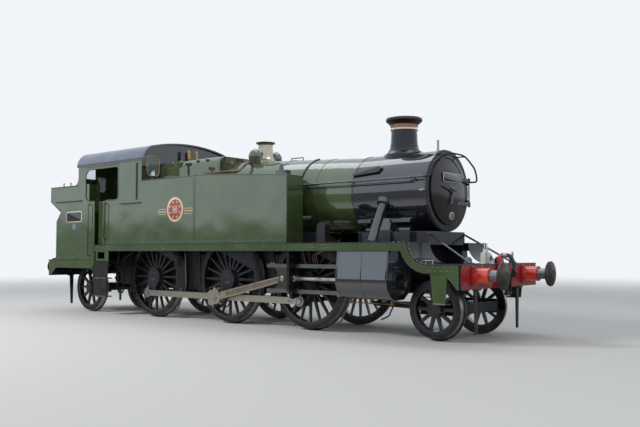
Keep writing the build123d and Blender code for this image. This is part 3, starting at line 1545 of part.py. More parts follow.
# Brake gear: hangers behind each coupled wheel, shoes, cross beams and pull rods
shoe_inner_y = 724
shoe_outer_y = 812
shoe_gap = 8
shoe_radius = driver_diameter / 2 + shoe_gap
hanger_y = 768
brake_beam_z = 480
brake_beam_back = shoe_radius + 72
pull_rod_y = 450
with BuildPart() as brake_gear:
    for axle_x in (front_x, main_x, rear_x):
        shoe_x = axle_x - shoe_radius - 34
        with BuildSketch(side_plane(shoe_inner_y)):
            with Locations((axle_x, driver_z)):
                Circle(shoe_radius + 64)
                Circle(shoe_radius, mode=Mode.SUBTRACT)
            with Locations((shoe_x, driver_z - 110)):
                Rectangle(260, 380, mode=Mode.INTERSECT)
        extrude(amount=shoe_outer_y - shoe_inner_y)
        with BuildSketch(side_plane(hanger_y - 14)):
            with BuildLine():
                Polyline(
                    (axle_x - brake_beam_back - 34, brake_beam_z - 40),
                    (axle_x - brake_beam_back + 34, brake_beam_z - 40),
                    (shoe_x + 24, driver_z - 110),
                    (shoe_x - 16, 1440),
                    (shoe_x - 66, 1440),
                    (shoe_x - 60, driver_z - 110),
                    close=True,
                )
            make_face()
        extrude(amount=28)
        with BuildSketch(side_plane(frame_outer_y)):
            with Locations((shoe_x - 40, 1410)):
                Circle(26)
        extrude(amount=hanger_y + 30 - frame_outer_y)
        with BuildSketch(side_plane(0)):
            with Locations((axle_x - brake_beam_back, brake_beam_z)):
                Circle(28)
        extrude(amount=hanger_y + 30)
    with BuildSketch(side_plane(pull_rod_y)):
        with Locations(((front_x + rear_x) / 2 - brake_beam_back, brake_beam_z)):
            Rectangle(front_x - rear_x, 40)
    extrude(amount=24)
    mirror(about=Plane.XZ)
brake_gear.part.label = "brake_gear"
export_step(brake_gear.part, "parts/brake_gear.step")


def bent_rod(points, radius, bends):
    """Round rod along straight runs joined by tangent bends."""
    with BuildPart() as bent:
        with BuildLine() as run:
            FilletPolyline(*points, radius=bends)
        with BuildSketch(Plane(origin=run.line @ 0, z_dir=run.line % 0)):
            Circle(radius)
        sweep(path=run.line)
    return bent.part


# Handrails: along the boiler and over the smokebox door, at the cab and on the bunker
rail_radius = 15
boiler_rail_y = 768
boiler_rail_z = 2690
rail_rear_x = tank_front_x - 50
rail_front_x = smokebox_front_x + 147
arch_top_z = 3124
sheet_rail_y = body_half_width + 62
rail_bend = 40
with BuildPart() as handrails:
    half_arch = (
        (rail_rear_x, boiler_rail_y, boiler_rail_z),
        (rail_front_x, boiler_rail_y, boiler_rail_z),
        (rail_front_x, boiler_rail_y - 33, 2900),
        (rail_front_x, 330, arch_top_z),
    )
    arch = [(x, -y, z) for x, y, z in half_arch] + list(reversed(half_arch))
    add(bent_rod(arch, rail_radius, (rail_bend, 280, 600, 600, 280, rail_bend)))
    for side in (-1, 1):
        # Oil pipe under the rail, on studs
        with BuildSketch(Plane.YZ.offset(rail_rear_x + 60)):
            with Locations((side * (boiler_rail_y - 22), boiler_rail_z - 56)):
                Circle(12)
        extrude(amount=smokebox_front_x - rail_rear_x - 330)
        for stud_x, root_y in (
            (rail_rear_x + 90, 711.6),
            (smokebox_rear_x + 30, 690.6),
            (smokebox_front_x - 300, 690.6),
        ):
            with BuildSketch(Plane.XZ.offset(-side * root_y)):
                with Locations((stud_x, boiler_rail_z - 56)):
                    Circle(8)
            extrude(amount=-side * (boiler_rail_y - 22 - root_y))
        # Pillars from the boiler to the rail
        for pillar_x, root_y in (
            (rail_rear_x + 40, 700.4),
            (smokebox_rear_x + 30, 678.8),
            (smokebox_front_x - 253, 678.8),
        ):
            with BuildSketch(Plane.XZ.offset(-side * root_y)):
                with Locations((pillar_x, boiler_rail_z)):
                    Circle(13)
            extrude(amount=-side * (boiler_rail_y - root_y))
            with Locations((pillar_x, side * boiler_rail_y, boiler_rail_z)):
                Sphere(26, rotation=(0, 90, 0))
        # Two stays from the smokebox front to the arch
        with BuildSketch(Plane.YZ.offset(smokebox_front_x)):
            with Locations((side * 330, arch_top_z - 20)):
                Circle(12)
        extrude(amount=rail_front_x - smokebox_front_x)
        # Upright and level rails on the sheets: start and end
        for start, end in (
            ((doorway_rear_x - 155, low_plate_z + 98), (doorway_rear_x - 155, cab_sill_z - 74)),
            ((doorway_front_x + 40, footplate_z + 128), (doorway_front_x + 40, cab_sill_z - 74)),
            ((cab_front_x - 712, cab_sill_z - 102), (cab_front_x - 45, cab_sill_z - 102)),
            ((bunker_low_rear_x + 30, cab_sill_z + 33), (cab_rear_x + 120, cab_sill_z + 33)),
        ):
            foot = (start[0], side * body_half_width, start[1])
            head = (end[0], side * body_half_width, end[1])
            add(
                bent_rod(
                    (
                        foot,
                        (start[0], side * sheet_rail_y, start[1]),
                        (end[0], side * sheet_rail_y, end[1]),
                        head,
                    ),
                    rail_radius - 2,
                    rail_bend - 12,
                )
            )
handrails.part.label = "handrails"
export_step(handrails.part, "parts/handrails.step")

# Vacuum brake standpipes with their hoses, one at each end
standpipe_radius = 28
standpipe_x = beam_face_x + standpipe_radius
standpipe_y = 130
hose_radius = 32
hose_turn = Vector(0.5, 0.866, 0)
with BuildPart() as vacuum_pipes:
    for end in (-1, 1):
        elbow = Vector(end * standpipe_x, -end * standpipe_y, 1385)
        neck = elbow + hose_turn * (end * 62)
        add(bent_rod((tuple(elbow - Vector(0, 0, 265)), tuple(elbow), tuple(neck)), standpipe_radius, 40))
vacuum_pipes.part.label = "vacuum_pipes"
export_step(vacuum_pipes.part, "parts/vacuum_pipes.step")
with BuildPart() as vacuum_hoses:
    for end in (-1, 1):
        union = Vector(end * standpipe_x, -end * standpipe_y, 1385) + hose_turn * (end * (62 + seat_gap))
        # Forward, across and down from the union, back to the stop on the beam
        drops = ((0, 0, 0), (70, 121, 0), (84, 240, -150), (48, 290, -330))
        add(
            bent_rod(
                [(union.X + end * ahead, union.Y + end * across, union.Z + down) for ahead, across, down in drops],
                hose_radius,
                (110, 110),
            )
        )
        stop = (end * beam_face_x, union.Y + end * 290, 1050)
        with BuildSketch(Plane(origin=stop, x_dir=(0, 1, 0), z_dir=(end, 0, 0))):
            RectangleRounded(90, 110, 20)
        extrude(amount=abs(union.X) + 40 - beam_face_x)
vacuum_hoses.part.label = "vacuum_hoses"
export_step(vacuum_hoses.part, "parts/vacuum_hoses.step")

# Headlamp standing on the front platform
lamp_x = beam_face_x - 90.5
lamp_y = -370
lamp_half = 68
with BuildPart() as headlamp:
    with BuildSketch(Plane.XY.offset(low_plate_z)):
        with Locations((lamp_x, lamp_y)):
            RectangleRounded(2 * lamp_half, 2 * lamp_half, 24)
    extrude(amount=176)
    with BuildSketch(Plane.XY.offset(low_plate_z + 176)):
        with Locations((lamp_x, lamp_y)):
            Circle(lamp_half - 8)
    with BuildSketch(Plane.XY.offset(low_plate_z + 206)):
        with Locations((lamp_x, lamp_y)):
            Circle(42)
    loft()
    with BuildSketch(Plane.XY.offset(low_plate_z + 206)):
        with Locations((lamp_x, lamp_y)):
            Circle(46)
    extrude(amount=40)
    with BuildSketch(Plane.YZ.offset(lamp_x + lamp_half)):
        with Locations((lamp_y, low_plate_z + 92)):
            Circle(52)
    extrude(amount=22)
    for across in (-38, 38):
        with BuildSketch(Plane.XY.offset(low_plate_z + 200)):
            with Locations((lamp_x, lamp_y + across)):
                Rectangle(16, 8)
        extrude(amount=120)
    with BuildSketch(Plane.XY.offset(low_plate_z + 312)):
        with Locations((lamp_x, lamp_y)):
            Rectangle(16, 84)
    extrude(amount=8)
headlamp.part.label = "headlamp"
export_step(headlamp.part, "parts/headlamp.step")

# Backhead fittings on the rear of the firebox
backhead_x = firebox_rear_x
with BuildPart() as backhead:
    with BuildSketch(Plane.YZ.offset(backhead_x)):
        with Locations((0, 2050)):
            RectangleRounded(460, 340, 60)
    extrude(amount=-30)
    with BuildSketch(Plane.YZ.offset(backhead_x)):
        with Locations((0, 2920)):
            Circle(120)
        with Locations((-330, 3120), (330, 3120)):
            Circle(90)
    extrude(amount=-60)
    with BuildSketch(Plane.YZ.offset(backhead_x - 60)):
        with Locations(Location((60, 2860, 0), (0, 0, 115))):
            Rectangle(560, 30)
    extrude(amount=-20)
    with BuildSketch(Plane.YZ.offset(backhead_x)):
        with Locations((-gauge_y, gauge_z), (gauge_y, gauge_z)):
            Rectangle(70, 420)
    extrude(amount=-70)
    with BuildSketch(Plane.YZ.offset(backhead_x)):
        with Locations((0, 2420)):
            Rectangle(760, 34)
    extrude(amount=-50)
backhead.part.label = "backhead"
export_step(backhead.part, "parts/backhead.step")

# Pipework: feed pipes over the tanks, injector below the cab, drain cocks below the cylinders
feed_pipe_radius = 26
injector_x = drop_rear_x + 530
drain_z = cylinder_z - cylinder_cladding_radius
with BuildPart() as pipework:
    for side in (-1, 1):
        feed_line = (
            (bonnet_x, feed_cover_y, 3250),
            (bonnet_x + 20, 560, 3250),
            (bonnet_x + 10, 800, 3062),
            (bonnet_x - 170, 905, 3062),
            (bonnet_x - 890, 905, 3062),
            (bonnet_x - 890, 905, tank_top_z + seat_gap),
        )
        add(bent_rod([(x, side * y, z) for x, y, z in feed_line], feed_pipe_radius, (90, 90, 90, 46)))
        with BuildSketch(Plane.XY.offset(tank_top_z + seat_gap)):
            with Locations((bonnet_x - 890, side * 905)):
                Circle(feed_pipe_radius + 24)
        extrude(amount=16)
        add(feed_cover(side, seat_gap), mode=Mode.SUBTRACT)
        # Injector on its steam pipe, and the delivery to the frames
        injector_line = (
            (injector_x, 1060, plate_under_z - seat_gap),
            (injector_x, 1060, 640),
            (injector_x, frame_outer_y + seat_gap, 640),
        )
        add(bent_rod([(x, side * y, z) for x, y, z in injector_line], 22, 70))
        for foot_z, height, radius in (
            (760, 190, 52),
            (950, 40, 36),
            (1120, 34, 40),
            (plate_under_z - 20 - seat_gap, 20, 46),
        ):
            with BuildSketch(Plane.XY.offset(foot_z)):
                with Locations((injector_x, side * 1060)):
                    Circle(radius)
            extrude(amount=height)
        with BuildSketch(Plane.XZ.offset(-side * 1000)):
            with Locations((injector_x, 850)):
                Circle(30)
        extrude(amount=-side * 130)
        # Drain cocks joined by their rod
        for cock_x in (cylinder_rear_x + 110, chimney_x + 10, cylinder_front_x - 110):
            with BuildSketch(Plane.XY.offset(drain_z - 84)):
                with Locations((cock_x, side * cylinder_y)):
                    Circle(17)
            extrude(amount=84 - seat_gap)
            with BuildSketch(Plane.XY.offset(drain_z - 50)):
                with Locations((cock_x, side * cylinder_y)):
                    RegularPolygon(30, 6)
            extrude(amount=26)
        with BuildSketch(Plane.YZ.offset(cylinder_rear_x + 60)):
            with Locations((side * cylinder_y, drain_z - 66)):
                Circle(9)
        extrude(amount=cylinder_length - 120)
pipework.part.label = "pipework"
export_step(pipework.part, "parts/pipework.step")



def pipe_cover(side):
    """A cover 40 deep that follows the smokebox, wedge-shaped from the side."""
    with BuildPart() as cover:
        with BuildSketch(Plane.XZ.offset(-side * 450)):
            with BuildLine():
                Polyline(
                    (smokebox_rear_x + 20, 2818),
                    (chimney_x - 138, 2952),
                    (chimney_x - 75, 2916),
                    (chimney_x - 120, 2836),
                    (smokebox_rear_x + 20, 2796),
                    close=True,
                )
            make_face()
        extrude(amount=-side * 330)
        with BuildSketch(Plane.YZ.offset(smokebox_rear_x)):
            with Locations((0, smokebox_z)):
                Circle(smokebox_radius + 40)
        extrude(amount=smokebox_front_x - smokebox_rear_x, mode=Mode.INTERSECT)
    return cover.part


# Fittings that stand on the boiler, tanks and running plate
with BuildPart() as fittings:
    for side in (-1, 1):
        # Whistles: stem, bell and cap
        for foot_z, height, radius in (
            (firebox_top_z + seat_gap, 130, 18),
            (firebox_top_z + 120, 190, 38),
            (firebox_top_z + 300, 40, 14),
        ):
            with BuildSketch(Plane.XY.offset(foot_z)):
                with Locations((cab_front_x + 180, side * 110)):
                    Circle(radius)
            extrude(amount=height)
        # Mushroom vents of the tanks
        for foot_z, height, radius in (
            (tank_top_z + seat_gap, 22, 60),
            (tank_top_z + 20, 240, 24),
            (tank_top_z + 250, 44, 74),
        ):
            with BuildSketch(Plane.XY.offset(foot_z)):
                with Locations((lid_x + 475, side * 1100)):
                    Circle(radius)
            extrude(amount=height)
        # Lubricator boxes on the running plate, round on top
        with BuildSketch(Plane.XZ.offset(-side * 1130)):
            with Locations((smokebox_rear_x - 235, (footplate_z + seat_gap + 1865) / 2)):
                Rectangle(190, 1865 - footplate_z - seat_gap)
            with Locations((smokebox_rear_x - 235, 1865)):
                Circle(95)
        extrude(amount=-side * 130)
        # Guard irons hung from the leading and trailing beams
        for end in (-1, 1):
            with BuildSketch(Plane.YZ.offset(end * (beam_back_x - 60))):
                with BuildLine():
                    Polyline(
                        (side * 690, beam_bottom_z - seat_gap),
                        (side * 700, 150),
                        (side * 750, 150),
                        (side * 790, beam_bottom_z - seat_gap),
                        close=True,
                    )
                make_face()
            extrude(amount=end * 26)
            with BuildSketch(Plane.XY.offset(beam_bottom_z - seat_gap)):
                with Locations((end * (beam_back_x - 20), side * 740)):
                    Rectangle(100, 130)
            extrude(amount=-22)
        # Lamp irons on the front and rear platforms
        for iron_x in (beam_face_x - 30, -beam_face_x + 30):
            for foot, height in ((60, 14), (14, 190)):
                with BuildSketch(Plane.XY.offset(low_plate_z + seat_gap)):
                    with Locations((iron_x, side * 466)):
                        Rectangle(foot, 50)
                extrude(amount=height)
    # Lamp iron on the smokebox top
    for foot, height in ((70, 56), (14, 236)):
        with BuildSketch(Plane.XY.offset(smokebox_z + smokebox_radius - 40)):
            with Locations((smokebox_front_x - 190, 0)):
                Rectangle(foot, 58)
        extrude(amount=height)
    # Tapered covers over the oil pipes, up the sides of the smokebox
    for side in (-1, 1):
        add(pipe_cover(side))
    with BuildSketch(Plane.YZ.offset(smokebox_rear_x)):
        with Locations((0, smokebox_z)):
            Circle(smokebox_radius + seat_gap)
    extrude(amount=smokebox_front_x - smokebox_rear_x, mode=Mode.SUBTRACT)
fittings.part.label = "fittings"
export_step(fittings.part, "parts/fittings.step")
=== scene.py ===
from itertools import product
from math import atan2, cos, pi, radians, sin, sqrt, tan

import bpy
from mathutils import Matrix, Vector


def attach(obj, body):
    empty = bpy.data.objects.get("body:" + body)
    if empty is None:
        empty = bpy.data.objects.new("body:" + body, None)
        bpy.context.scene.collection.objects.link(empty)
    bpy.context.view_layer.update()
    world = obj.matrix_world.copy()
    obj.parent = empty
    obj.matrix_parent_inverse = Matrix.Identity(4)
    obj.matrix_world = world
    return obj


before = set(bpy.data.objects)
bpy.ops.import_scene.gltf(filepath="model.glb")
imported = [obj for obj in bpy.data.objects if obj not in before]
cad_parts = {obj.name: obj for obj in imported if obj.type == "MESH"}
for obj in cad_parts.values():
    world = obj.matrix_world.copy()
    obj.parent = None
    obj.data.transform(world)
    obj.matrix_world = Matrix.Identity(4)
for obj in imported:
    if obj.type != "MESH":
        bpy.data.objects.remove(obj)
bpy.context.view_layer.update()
scene = bpy.context.scene

# Sizes repeated from the part's source, in metres: X forward, Y left, Z up
BODY_Y, ANGLE_Y = 1.295, 1.305
PLATE_Y, PLATE_Z, LOW_Z = 1.34, 1.6, 1.25
BEAM_X = 5.7405
FRONT_X, MAIN_X, REAR_X = 2.2935, 0.1595, -2.2025
LEADING_X, TRAILING_X = 4.9605, -4.7175
DRIVER_Z, LEADING_Z, TRAILING_Z = 0.8915, 0.5105, 0.587
TANK_FRONT_X, TANK_REAR_X = 2.17, -2.106
CAB_FRONT_X, CAB_REAR_X = -2.11, -4.54
BUNKER_X, BUNKER_LOW_X, BUNKER_TOP_Z = -4.6875, -5.4705, 3.013
SMOKEBOX_X, SMOKEBOX_Z, SMOKEBOX_R = 3.18, 2.493, 0.703
CHIMNEY_X = 3.86
CYL_Y, CYL_Z = 1.041, 0.9545
CYL_REAR_X, CYL_FRONT_X = 3.34, 4.4
BUFFER_Y, BUFFER_Z = 0.87, 1.073
# Side name, side, the crank pin's X and Z from its axle, the crosshead's X, the connecting rod's tilt
CRANK_PINS = (("right", -1, -0.1365, -0.3557, 1.907, 0.2187), ("left", 1, 0.3557, -0.1365, 2.4349, 0.1036))
LOCO = "locomotive"
SIDES = (-1, 1)
AHEAD, ASTERN, UP = (1, 0, 0), (-1, 0, 0), (0, 0, 1)


# Materials


def srgb(colour):
    """A colour as it is seen, in hexadecimal, as linear light."""
    parts = (c / 255 for c in bytes.fromhex(colour))
    return *(c / 12.92 if c <= 0.04045 else ((c + 0.055) / 1.055) ** 2.4 for c in parts), 1.0


class Look:
    """A node tree built step by step in object space, in metres."""

    def __init__(self, name, family=bpy.data.materials, shader="Principled BSDF"):
        self.made = family.new(name)
        self.made.use_nodes = True
        self.tree = self.made.node_tree
        self.shader = self.tree.nodes[shader]
        self.coords = self.node("TexCoord").outputs
        self.parts = self.node("SeparateXYZ", Vector=self.coords["Object"]).outputs

    def feed(self, socket, value):
        if hasattr(value, "links"):
            self.tree.links.new(value, socket)
        else:
            socket.default_value = value

    def fill(self, node, **inputs):
        """Sets or links a node's inputs, with _ for a space in their names."""
        for key, value in inputs.items():
            self.feed(node.inputs[key.replace("_", " ")], value)
        return node

    def node(self, kind, **inputs):
        return self.fill(self.tree.nodes.new("ShaderNode" + kind), **inputs)

    def noise(self, scale, detail=4.0, rough=0.55, stretch=(1, 1, 1)):
        place = self.node("Mapping", Scale=stretch, Vector=self.coords["Object"]).outputs["Vector"]
        return self.node("TexNoise", Scale=scale, Detail=detail, Roughness=rough, Vector=place).outputs["Fac"]

    def ramp(self, factor, low, high, to_low=0.0, to_high=1.0):
        node = self.node("MapRange", Value=factor, From_Min=low, From_Max=high, To_Min=to_low, To_Max=to_high)
        node.interpolation_type = "SMOOTHSTEP"
        return node.outputs["Result"]

    def math(self, operation, a, b=0.0):
        node = self.node("Math")
        node.operation = operation
        self.feed(node.inputs[0], a)
        self.feed(node.inputs[1], b)
        return node.outputs[0]

    def within(self, **spans):
        """1 inside a box given by spans of x, y as the distance from the centre line, and z."""
        mask = 1.0
        for name, span in spans.items():
            value = self.parts[name.upper()]
            if name == "y":
                value = self.math("ABSOLUTE", value)
            for test, bound in zip(("GREATER_THAN", "LESS_THAN"), span):
                if bound is not None:
                    mask = self.math("MULTIPLY", mask, self.math(test, value, bound))
        return mask

    def sideways(self, least):
        """1 where the surface faces left or right."""
        normal = self.node("NewGeometry").outputs["True Normal"]
        turn = self.node("SeparateXYZ", Vector=normal).outputs["Y"]
        return self.math("GREATER_THAN", self.math("ABSOLUTE", turn), least)

    def mix(self, factor, a, b):
        node = self.node("Mix")
        node.data_type = "RGBA"
        self.feed(node.inputs[0], factor)
        for socket, value in ((node.inputs[6], a), (node.inputs[7], b)):
            self.feed(socket, srgb(value) if isinstance(value, str) else value)
        return node.outputs[2]

    def paint(self, factor, shade, deep, marks):
        """Two tones by a factor, then colours laid inside boxes: a box's spans, the colour."""
        body = self.mix(factor, shade, deep)
        for spans, colour in marks:
            body = self.mix(self.within(**spans), body, colour)
        return body

    def finish(self, colour, rough, fields, **values):
        """Colour, roughness, height fields with their depths in metres, and the shader's own values."""
        bevel = self.node("Bevel", Radius=0.004)
        bevel.samples = 4
        normal = bevel.outputs["Normal"]
        for field, depth in fields:
            bump = self.node("Bump", Strength=1.0, Distance=depth, Height=field, Normal=normal)
            normal = bump.outputs["Normal"]
        values.update(Base_Color=colour, Roughness=rough, Normal=normal, Coat_Normal=normal)
        self.fill(self.shader, **values)
        return self.made


def enamel(name, shade, deep, dust, rough=0.34, wave=0.008, dust_to=0.3, marks=(), dull=None,
           coat=(0.04, 1.85)):
    """Gloss paint on slightly wavy sheets, with tone drift, brush streaks and dust low down.

    The coat is the varnish's roughness and its index; dull is a box where there is little of it.
    """
    look = Look(name)
    body = look.mix(look.ramp(look.noise(1.7, 5, 0.6), 0.35, 0.7), shade, deep)
    streak = look.noise(3.0, 3, 0.5, (6, 6, 0.35))
    body = look.paint(look.ramp(streak, 0.52, 0.8, 0, 0.3), body, deep, marks)
    low = look.ramp(look.parts["Z"], 0.4, 2.2, dust_to, 0.02)
    speck = look.math("MULTIPLY", low, look.ramp(look.noise(11, 6, 0.7), 0.42, 0.68))
    body = look.mix(speck, body, dust)
    gloss = look.math("ADD", look.ramp(look.noise(5, 4, 0.6), 0.3, 0.75, rough, rough + 0.12), speck)
    swell, ripple, grit = look.noise(1.1, 1, 0.4), look.noise(4.2, 1, 0.4), look.noise(90, 3, 0.6)
    fields = ((swell, wave), (ripple, wave * 0.08), (grit, 0.00002))
    varnish = dict(Coat_Weight=1.0, Coat_Roughness=coat[0], Coat_IOR=coat[1])
    if dull:
        varnish["Coat_Weight"] = look.ramp(look.within(**dull), 0, 1, 1.0, 0.2)
    return look.finish(body, gloss, fields, Specular_IOR_Level=0.15, **varnish)


def trim(name, shade, deep, dust, dust_to=0.05):
    """Enamel on small flat trim."""
    return enamel(name, shade, deep, dust, wave=0.0002, dust_to=dust_to)


def brushed(name, shade, deep, stain, rough=0.28, grain=(1, 40, 40), stain_amount=0.6, marks=(), flute=None):
    """Bright metal with drawn grain, oil and brown staining; flute colours the hollows of a rod."""
    look = Look(name)
    lines = look.noise(14, 4, 0.7, grain)
    patch = look.noise(4.5, 6, 0.65)
    body = look.paint(look.ramp(lines, 0.35, 0.7), shade, deep, marks)
    if flute:
        hollow = look.math("MULTIPLY", look.within(y=flute[0]), look.sideways(0.9))
        hollow = look.math("MULTIPLY", hollow, look.ramp(look.noise(6, 5, 0.7), 0.3, 0.55, 0.55, 1.0))
        body = look.mix(hollow, body, flute[1])
    body = look.mix(look.ramp(patch, 0.45, 0.72, 0, stain_amount), body, stain)
    gloss = look.ramp(lines, 0.3, 0.7, rough - 0.08, rough + 0.08)
    gloss = look.math("ADD", gloss, look.ramp(patch, 0.45, 0.75, 0, 0.2))
    return look.finish(body, gloss, ((lines, 0.0003), (look.noise(60, 3), 0.0002)), Metallic=1.0)


def grimy(name, shade, deep, oil, rough=0.5, scale=9.0, metallic=0.0, coat=0.0, marks=()):
    """Dull black ironwork with soot, oil and brown brake dust."""
    look = Look(name)
    patch = look.noise(scale, 6, 0.7)
    body = look.paint(look.ramp(look.noise(scale * 0.2, 4, 0.6), 0.35, 0.7), shade, deep, marks)
    body = look.mix(look.ramp(patch, 0.5, 0.78, 0, 0.6), body, oil)
    gloss = look.ramp(patch, 0.3, 0.75, rough - 0.15, rough + 0.2)
    fields = ((look.noise(scale * 8, 4, 0.6), 0.0005), (patch, 0.001))
    values = dict(Metallic=metallic, Coat_Weight=coat, Coat_Roughness=0.15)
    return look.finish(body, gloss, fields, Specular_IOR_Level=0.3, **values)


def tyre_steel():
    """Oily dark faces and a bright worn tread, told apart by which way the surface faces."""
    look = Look("tyre_steel")
    patch = look.noise(7, 6, 0.7)
    dark = look.mix(look.ramp(look.noise(20, 4, 0.6), 0.4, 0.7), "3c3c3e", "28282a")
    dark = look.mix(look.ramp(patch, 0.5, 0.75, 0, 0.6), dark, "685848")
    body = look.mix(look.sideways(0.6), "aaa6a0", dark)
    return look.finish(body, look.ramp(patch, 0.3, 0.7, 0.22, 0.46), ((patch, 0.0004),), Metallic=0.85)


def glass(name, tint):
    """Thin pane with a little smoke film."""
    look = Look(name)
    film = look.ramp(look.noise(9, 4, 0.6), 0.35, 0.8, 0.02, 0.16)
    return look.finish(tint, film, ((look.noise(3, 2), 0.0004),), Transmission_Weight=0.92, IOR=1.45)


INK, RED, SILVER = "141518", "960a10", "b0b2b4"
DUST, PALE_DUST, SOOT = "605e4c", "545442", "323030"
LEAF = ("3e4e28", "334221", DUST)
SHEET_WAVE, WET_COAT = 0.013, (0.04, 2.1)
# Rivets and nuts on black ironwork: a grey lighter than the black round them, painted glints on their heads
GLINT_RIVET_BLACK = trim("rivet_black_painted_glint", "34363c", "282a2e", "3c3a3a", 0.1)
GREEN = enamel("green_paint", *LEAF, wave=SHEET_WAVE, coat=WET_COAT)
RUNNING_GREEN = enamel("running_green", "3a4c28", "304020", PALE_DUST)
# Rivets on green sheets: a paler green than the sheets, painted highlights on their heads
GLINT_RIVET_GREEN = trim("rivet_green_painted_glint", "647854", "546644", DUST, 0.1)
STEP_GREEN = enamel("step_paint", "425630", "364826", PALE_DUST, coat=(0.04, 1.45),
    marks=((dict(x=(None, 4.5), z=(None, 1.24)), INK), (dict(x=(None, 4.5), y=(None, 1.3)), INK)))
PLATE = enamel("footplate_paint", "18191b", "121314", "46433c", rough=0.42, coat=(0.16, 1.25))
# Cab ends: black on the front sheet's outer face is painted shade, the forward face shown as it looks in
# shadow
CAB_ENDS = enamel("cab_end_paint", *LEAF,
    marks=((dict(x=(-2.1075, None)), INK), (dict(x=(-4.0, -2.111)), "2c3622")))
BUNKER = enamel("bunker_paint", *LEAF, wave=SHEET_WAVE, coat=WET_COAT, marks=(
    (dict(x=(-5.225, -4.548), y=(None, 1.2885), z=(2.14, None)), INK),
    (dict(x=(-5.734, -4.548), y=(None, 1.2885), z=(2.7, None)), INK)))
SMOKE_BLACK = enamel("smokebox_black", "16171c", "101114", SOOT,
    rough=0.4, wave=0.006, dust_to=0.12, coat=WET_COAT, dull=dict(x=(4.738, 5.0)))
CHIMNEY = enamel("chimney_black", "181a22", "121318", SOOT, rough=0.4, wave=0.003, coat=(0.04, 1.45))
# Smokebox door: a dark reddish brown all over, a painted reflection of a brick wall on black paint
DOOR_BLACK_PAINTED_REFLECTION = enamel("door_black_painted_reflection", "281a16", "1e1311", "40322e",
    rough=0.4, wave=0.003, coat=(0.04, 1.4), marks=((dict(x=(4.848, None)), "606060"),))
# Cylinders: above z 0.99 a lighter blue-grey, a painted reflection of the sky on the cladding's upper faces
CYLINDER = enamel("cylinder_black", "181a1f", "131418", "383531",
    wave=0.004, dust_to=0.12, coat=WET_COAT, marks=((dict(z=(0.99, None)), "363a43"),))
ROOF = enamel("roof_paint", "5c6074", "484c5c", "2c2b2e", rough=0.45, dust_to=0.02,
    marks=((dict(x=(None, -4.596)), INK), (dict(x=(-2.054, None)), INK), (dict(z=(None, 3.5)), INK)),
    coat=(0.22, 1.85))
BEAM = enamel("beam_red", RED, "70070d", "703e36", marks=((dict(x=(-5.7385, 5.7385)), INK),))
STOCK = enamel("stock_red", "e43c18", "cc2c10", "96503c",
    dust_to=0.15, wave=0.001, marks=((dict(x=(-5.764, 5.764), y=(0.6, None)), RED),))
LAMP = enamel("lamp_white", "e8e8e4", "d6d6d0", "96928a",
    wave=0.0006, dust_to=0.12, marks=((dict(x=(5.7385, None)), "28323c"),))
PLATE_BLACK = enamel("plate_black", "101012", "0c0c0d", "323232", wave=0.0004, dust_to=0.08)
BLUE = trim("disc_blue", "407cba", "346ca8", "50545a", 0.08)
CREST_RED = trim("crest_red", "961a18", "801212", "785a50")
CREAM = trim("trim_cream", "d4d0ba", "c2bca4", "968c6e")
GOLD = trim("trim_gold", "cea84e", "b68e3a", "8c785a")
FRAME = grimy("frame_black", "151517", "0e0e0f", "2c2621", coat=0.25)
WHEEL = grimy("wheel_black", "191a1d", "111214", "38322d", rough=0.34, scale=12, coat=0.8)
HOOK = grimy("hook_iron", "46423e", "2c2926", "604a36", rough=0.42, scale=20, metallic=0.7)
HOSE = grimy("hose_rubber", "585c62", "404348", "2c2c2e", scale=30,
    marks=((dict(x=(-5.76, 5.76)), "781a14"),))
FITTINGS = grimy("fittings_paint", "18181b", "101012", "302a25", rough=0.35, coat=0.8, marks=(
    (dict(x=(-2.05, -1.75), z=(3.4, None)), "c4a054"), (dict(x=(5.69, 5.73), z=(1.2, None)), SILVER),
    (dict(x=(4.5, 4.62), z=(3.2, None)), SILVER)))
ROD = brushed("rod_steel", "ccc6b8", "a49d8e", "967a58", stain_amount=0.45)
CON_ROD = brushed("connecting_rod_steel", "cec8ba", "a69e8e", "967854",
    stain_amount=0.4, flute=((1.012, 1.0705), "a08e76"))
HEAD = brushed("crosshead_steel", "706a60", "544e46", "3c3026", rough=0.34,
    marks=((dict(z=(0.89, 1.02), x=(2.1, None)), "cecac2"),))
GUIDE = brushed("slide_bar_steel", "96948e", "6e6c66", "46382a", rough=0.3)
BUFFER = brushed("buffer_steel", "68605a", "4e4742", "3c2e24", rough=0.42, grain=(30, 6, 6),
    marks=((dict(x=(-6.17, 6.17)), "969696"),))
# Chimney cap: the near-white pink below z 3.722 is a painted highlight on the lower band; above z 3.768, dark
# heat patina
COPPER = brushed("copper", "7c584a", "603e30", "462c22", rough=0.2, grain=(4, 4, 30),
    marks=((dict(z=(None, 3.722)), "f6d4c0"), (dict(z=(3.768, None)), "4a4648")), stain_amount=0.3)
BRASS = brushed("brass", "ceb476", "aa8c54", "685436", rough=0.2, stain_amount=0.3)
BONNET = brushed("pale_gunmetal", "cec6b4", "a89e8a", "685a42",
    rough=0.2, grain=(3, 3, 20), stain_amount=0.3, marks=((dict(z=(3.7, None)), "544838"),))
PIPE = brushed("pipe_copper", "9e7a6c", "6c4e42", "342c26", grain=(8, 8, 8), stain_amount=0.7,
    marks=((dict(z=(None, 0.9), x=(3, None)), "967846"),
           (dict(z=(None, 2), x=(None, -2)), "322e2c")))
STEEL = brushed("bright_steel", "cececc", "9e9e9c", "5a5046", rough=0.22, stain_amount=0.3)
DIAL = trim("dial_white", "e2e0d6", "d4d0c4", "96928a")
PANE = glass("window_glass", (0.86, 0.92, 0.9, 1))
TYRE = tyre_steel()

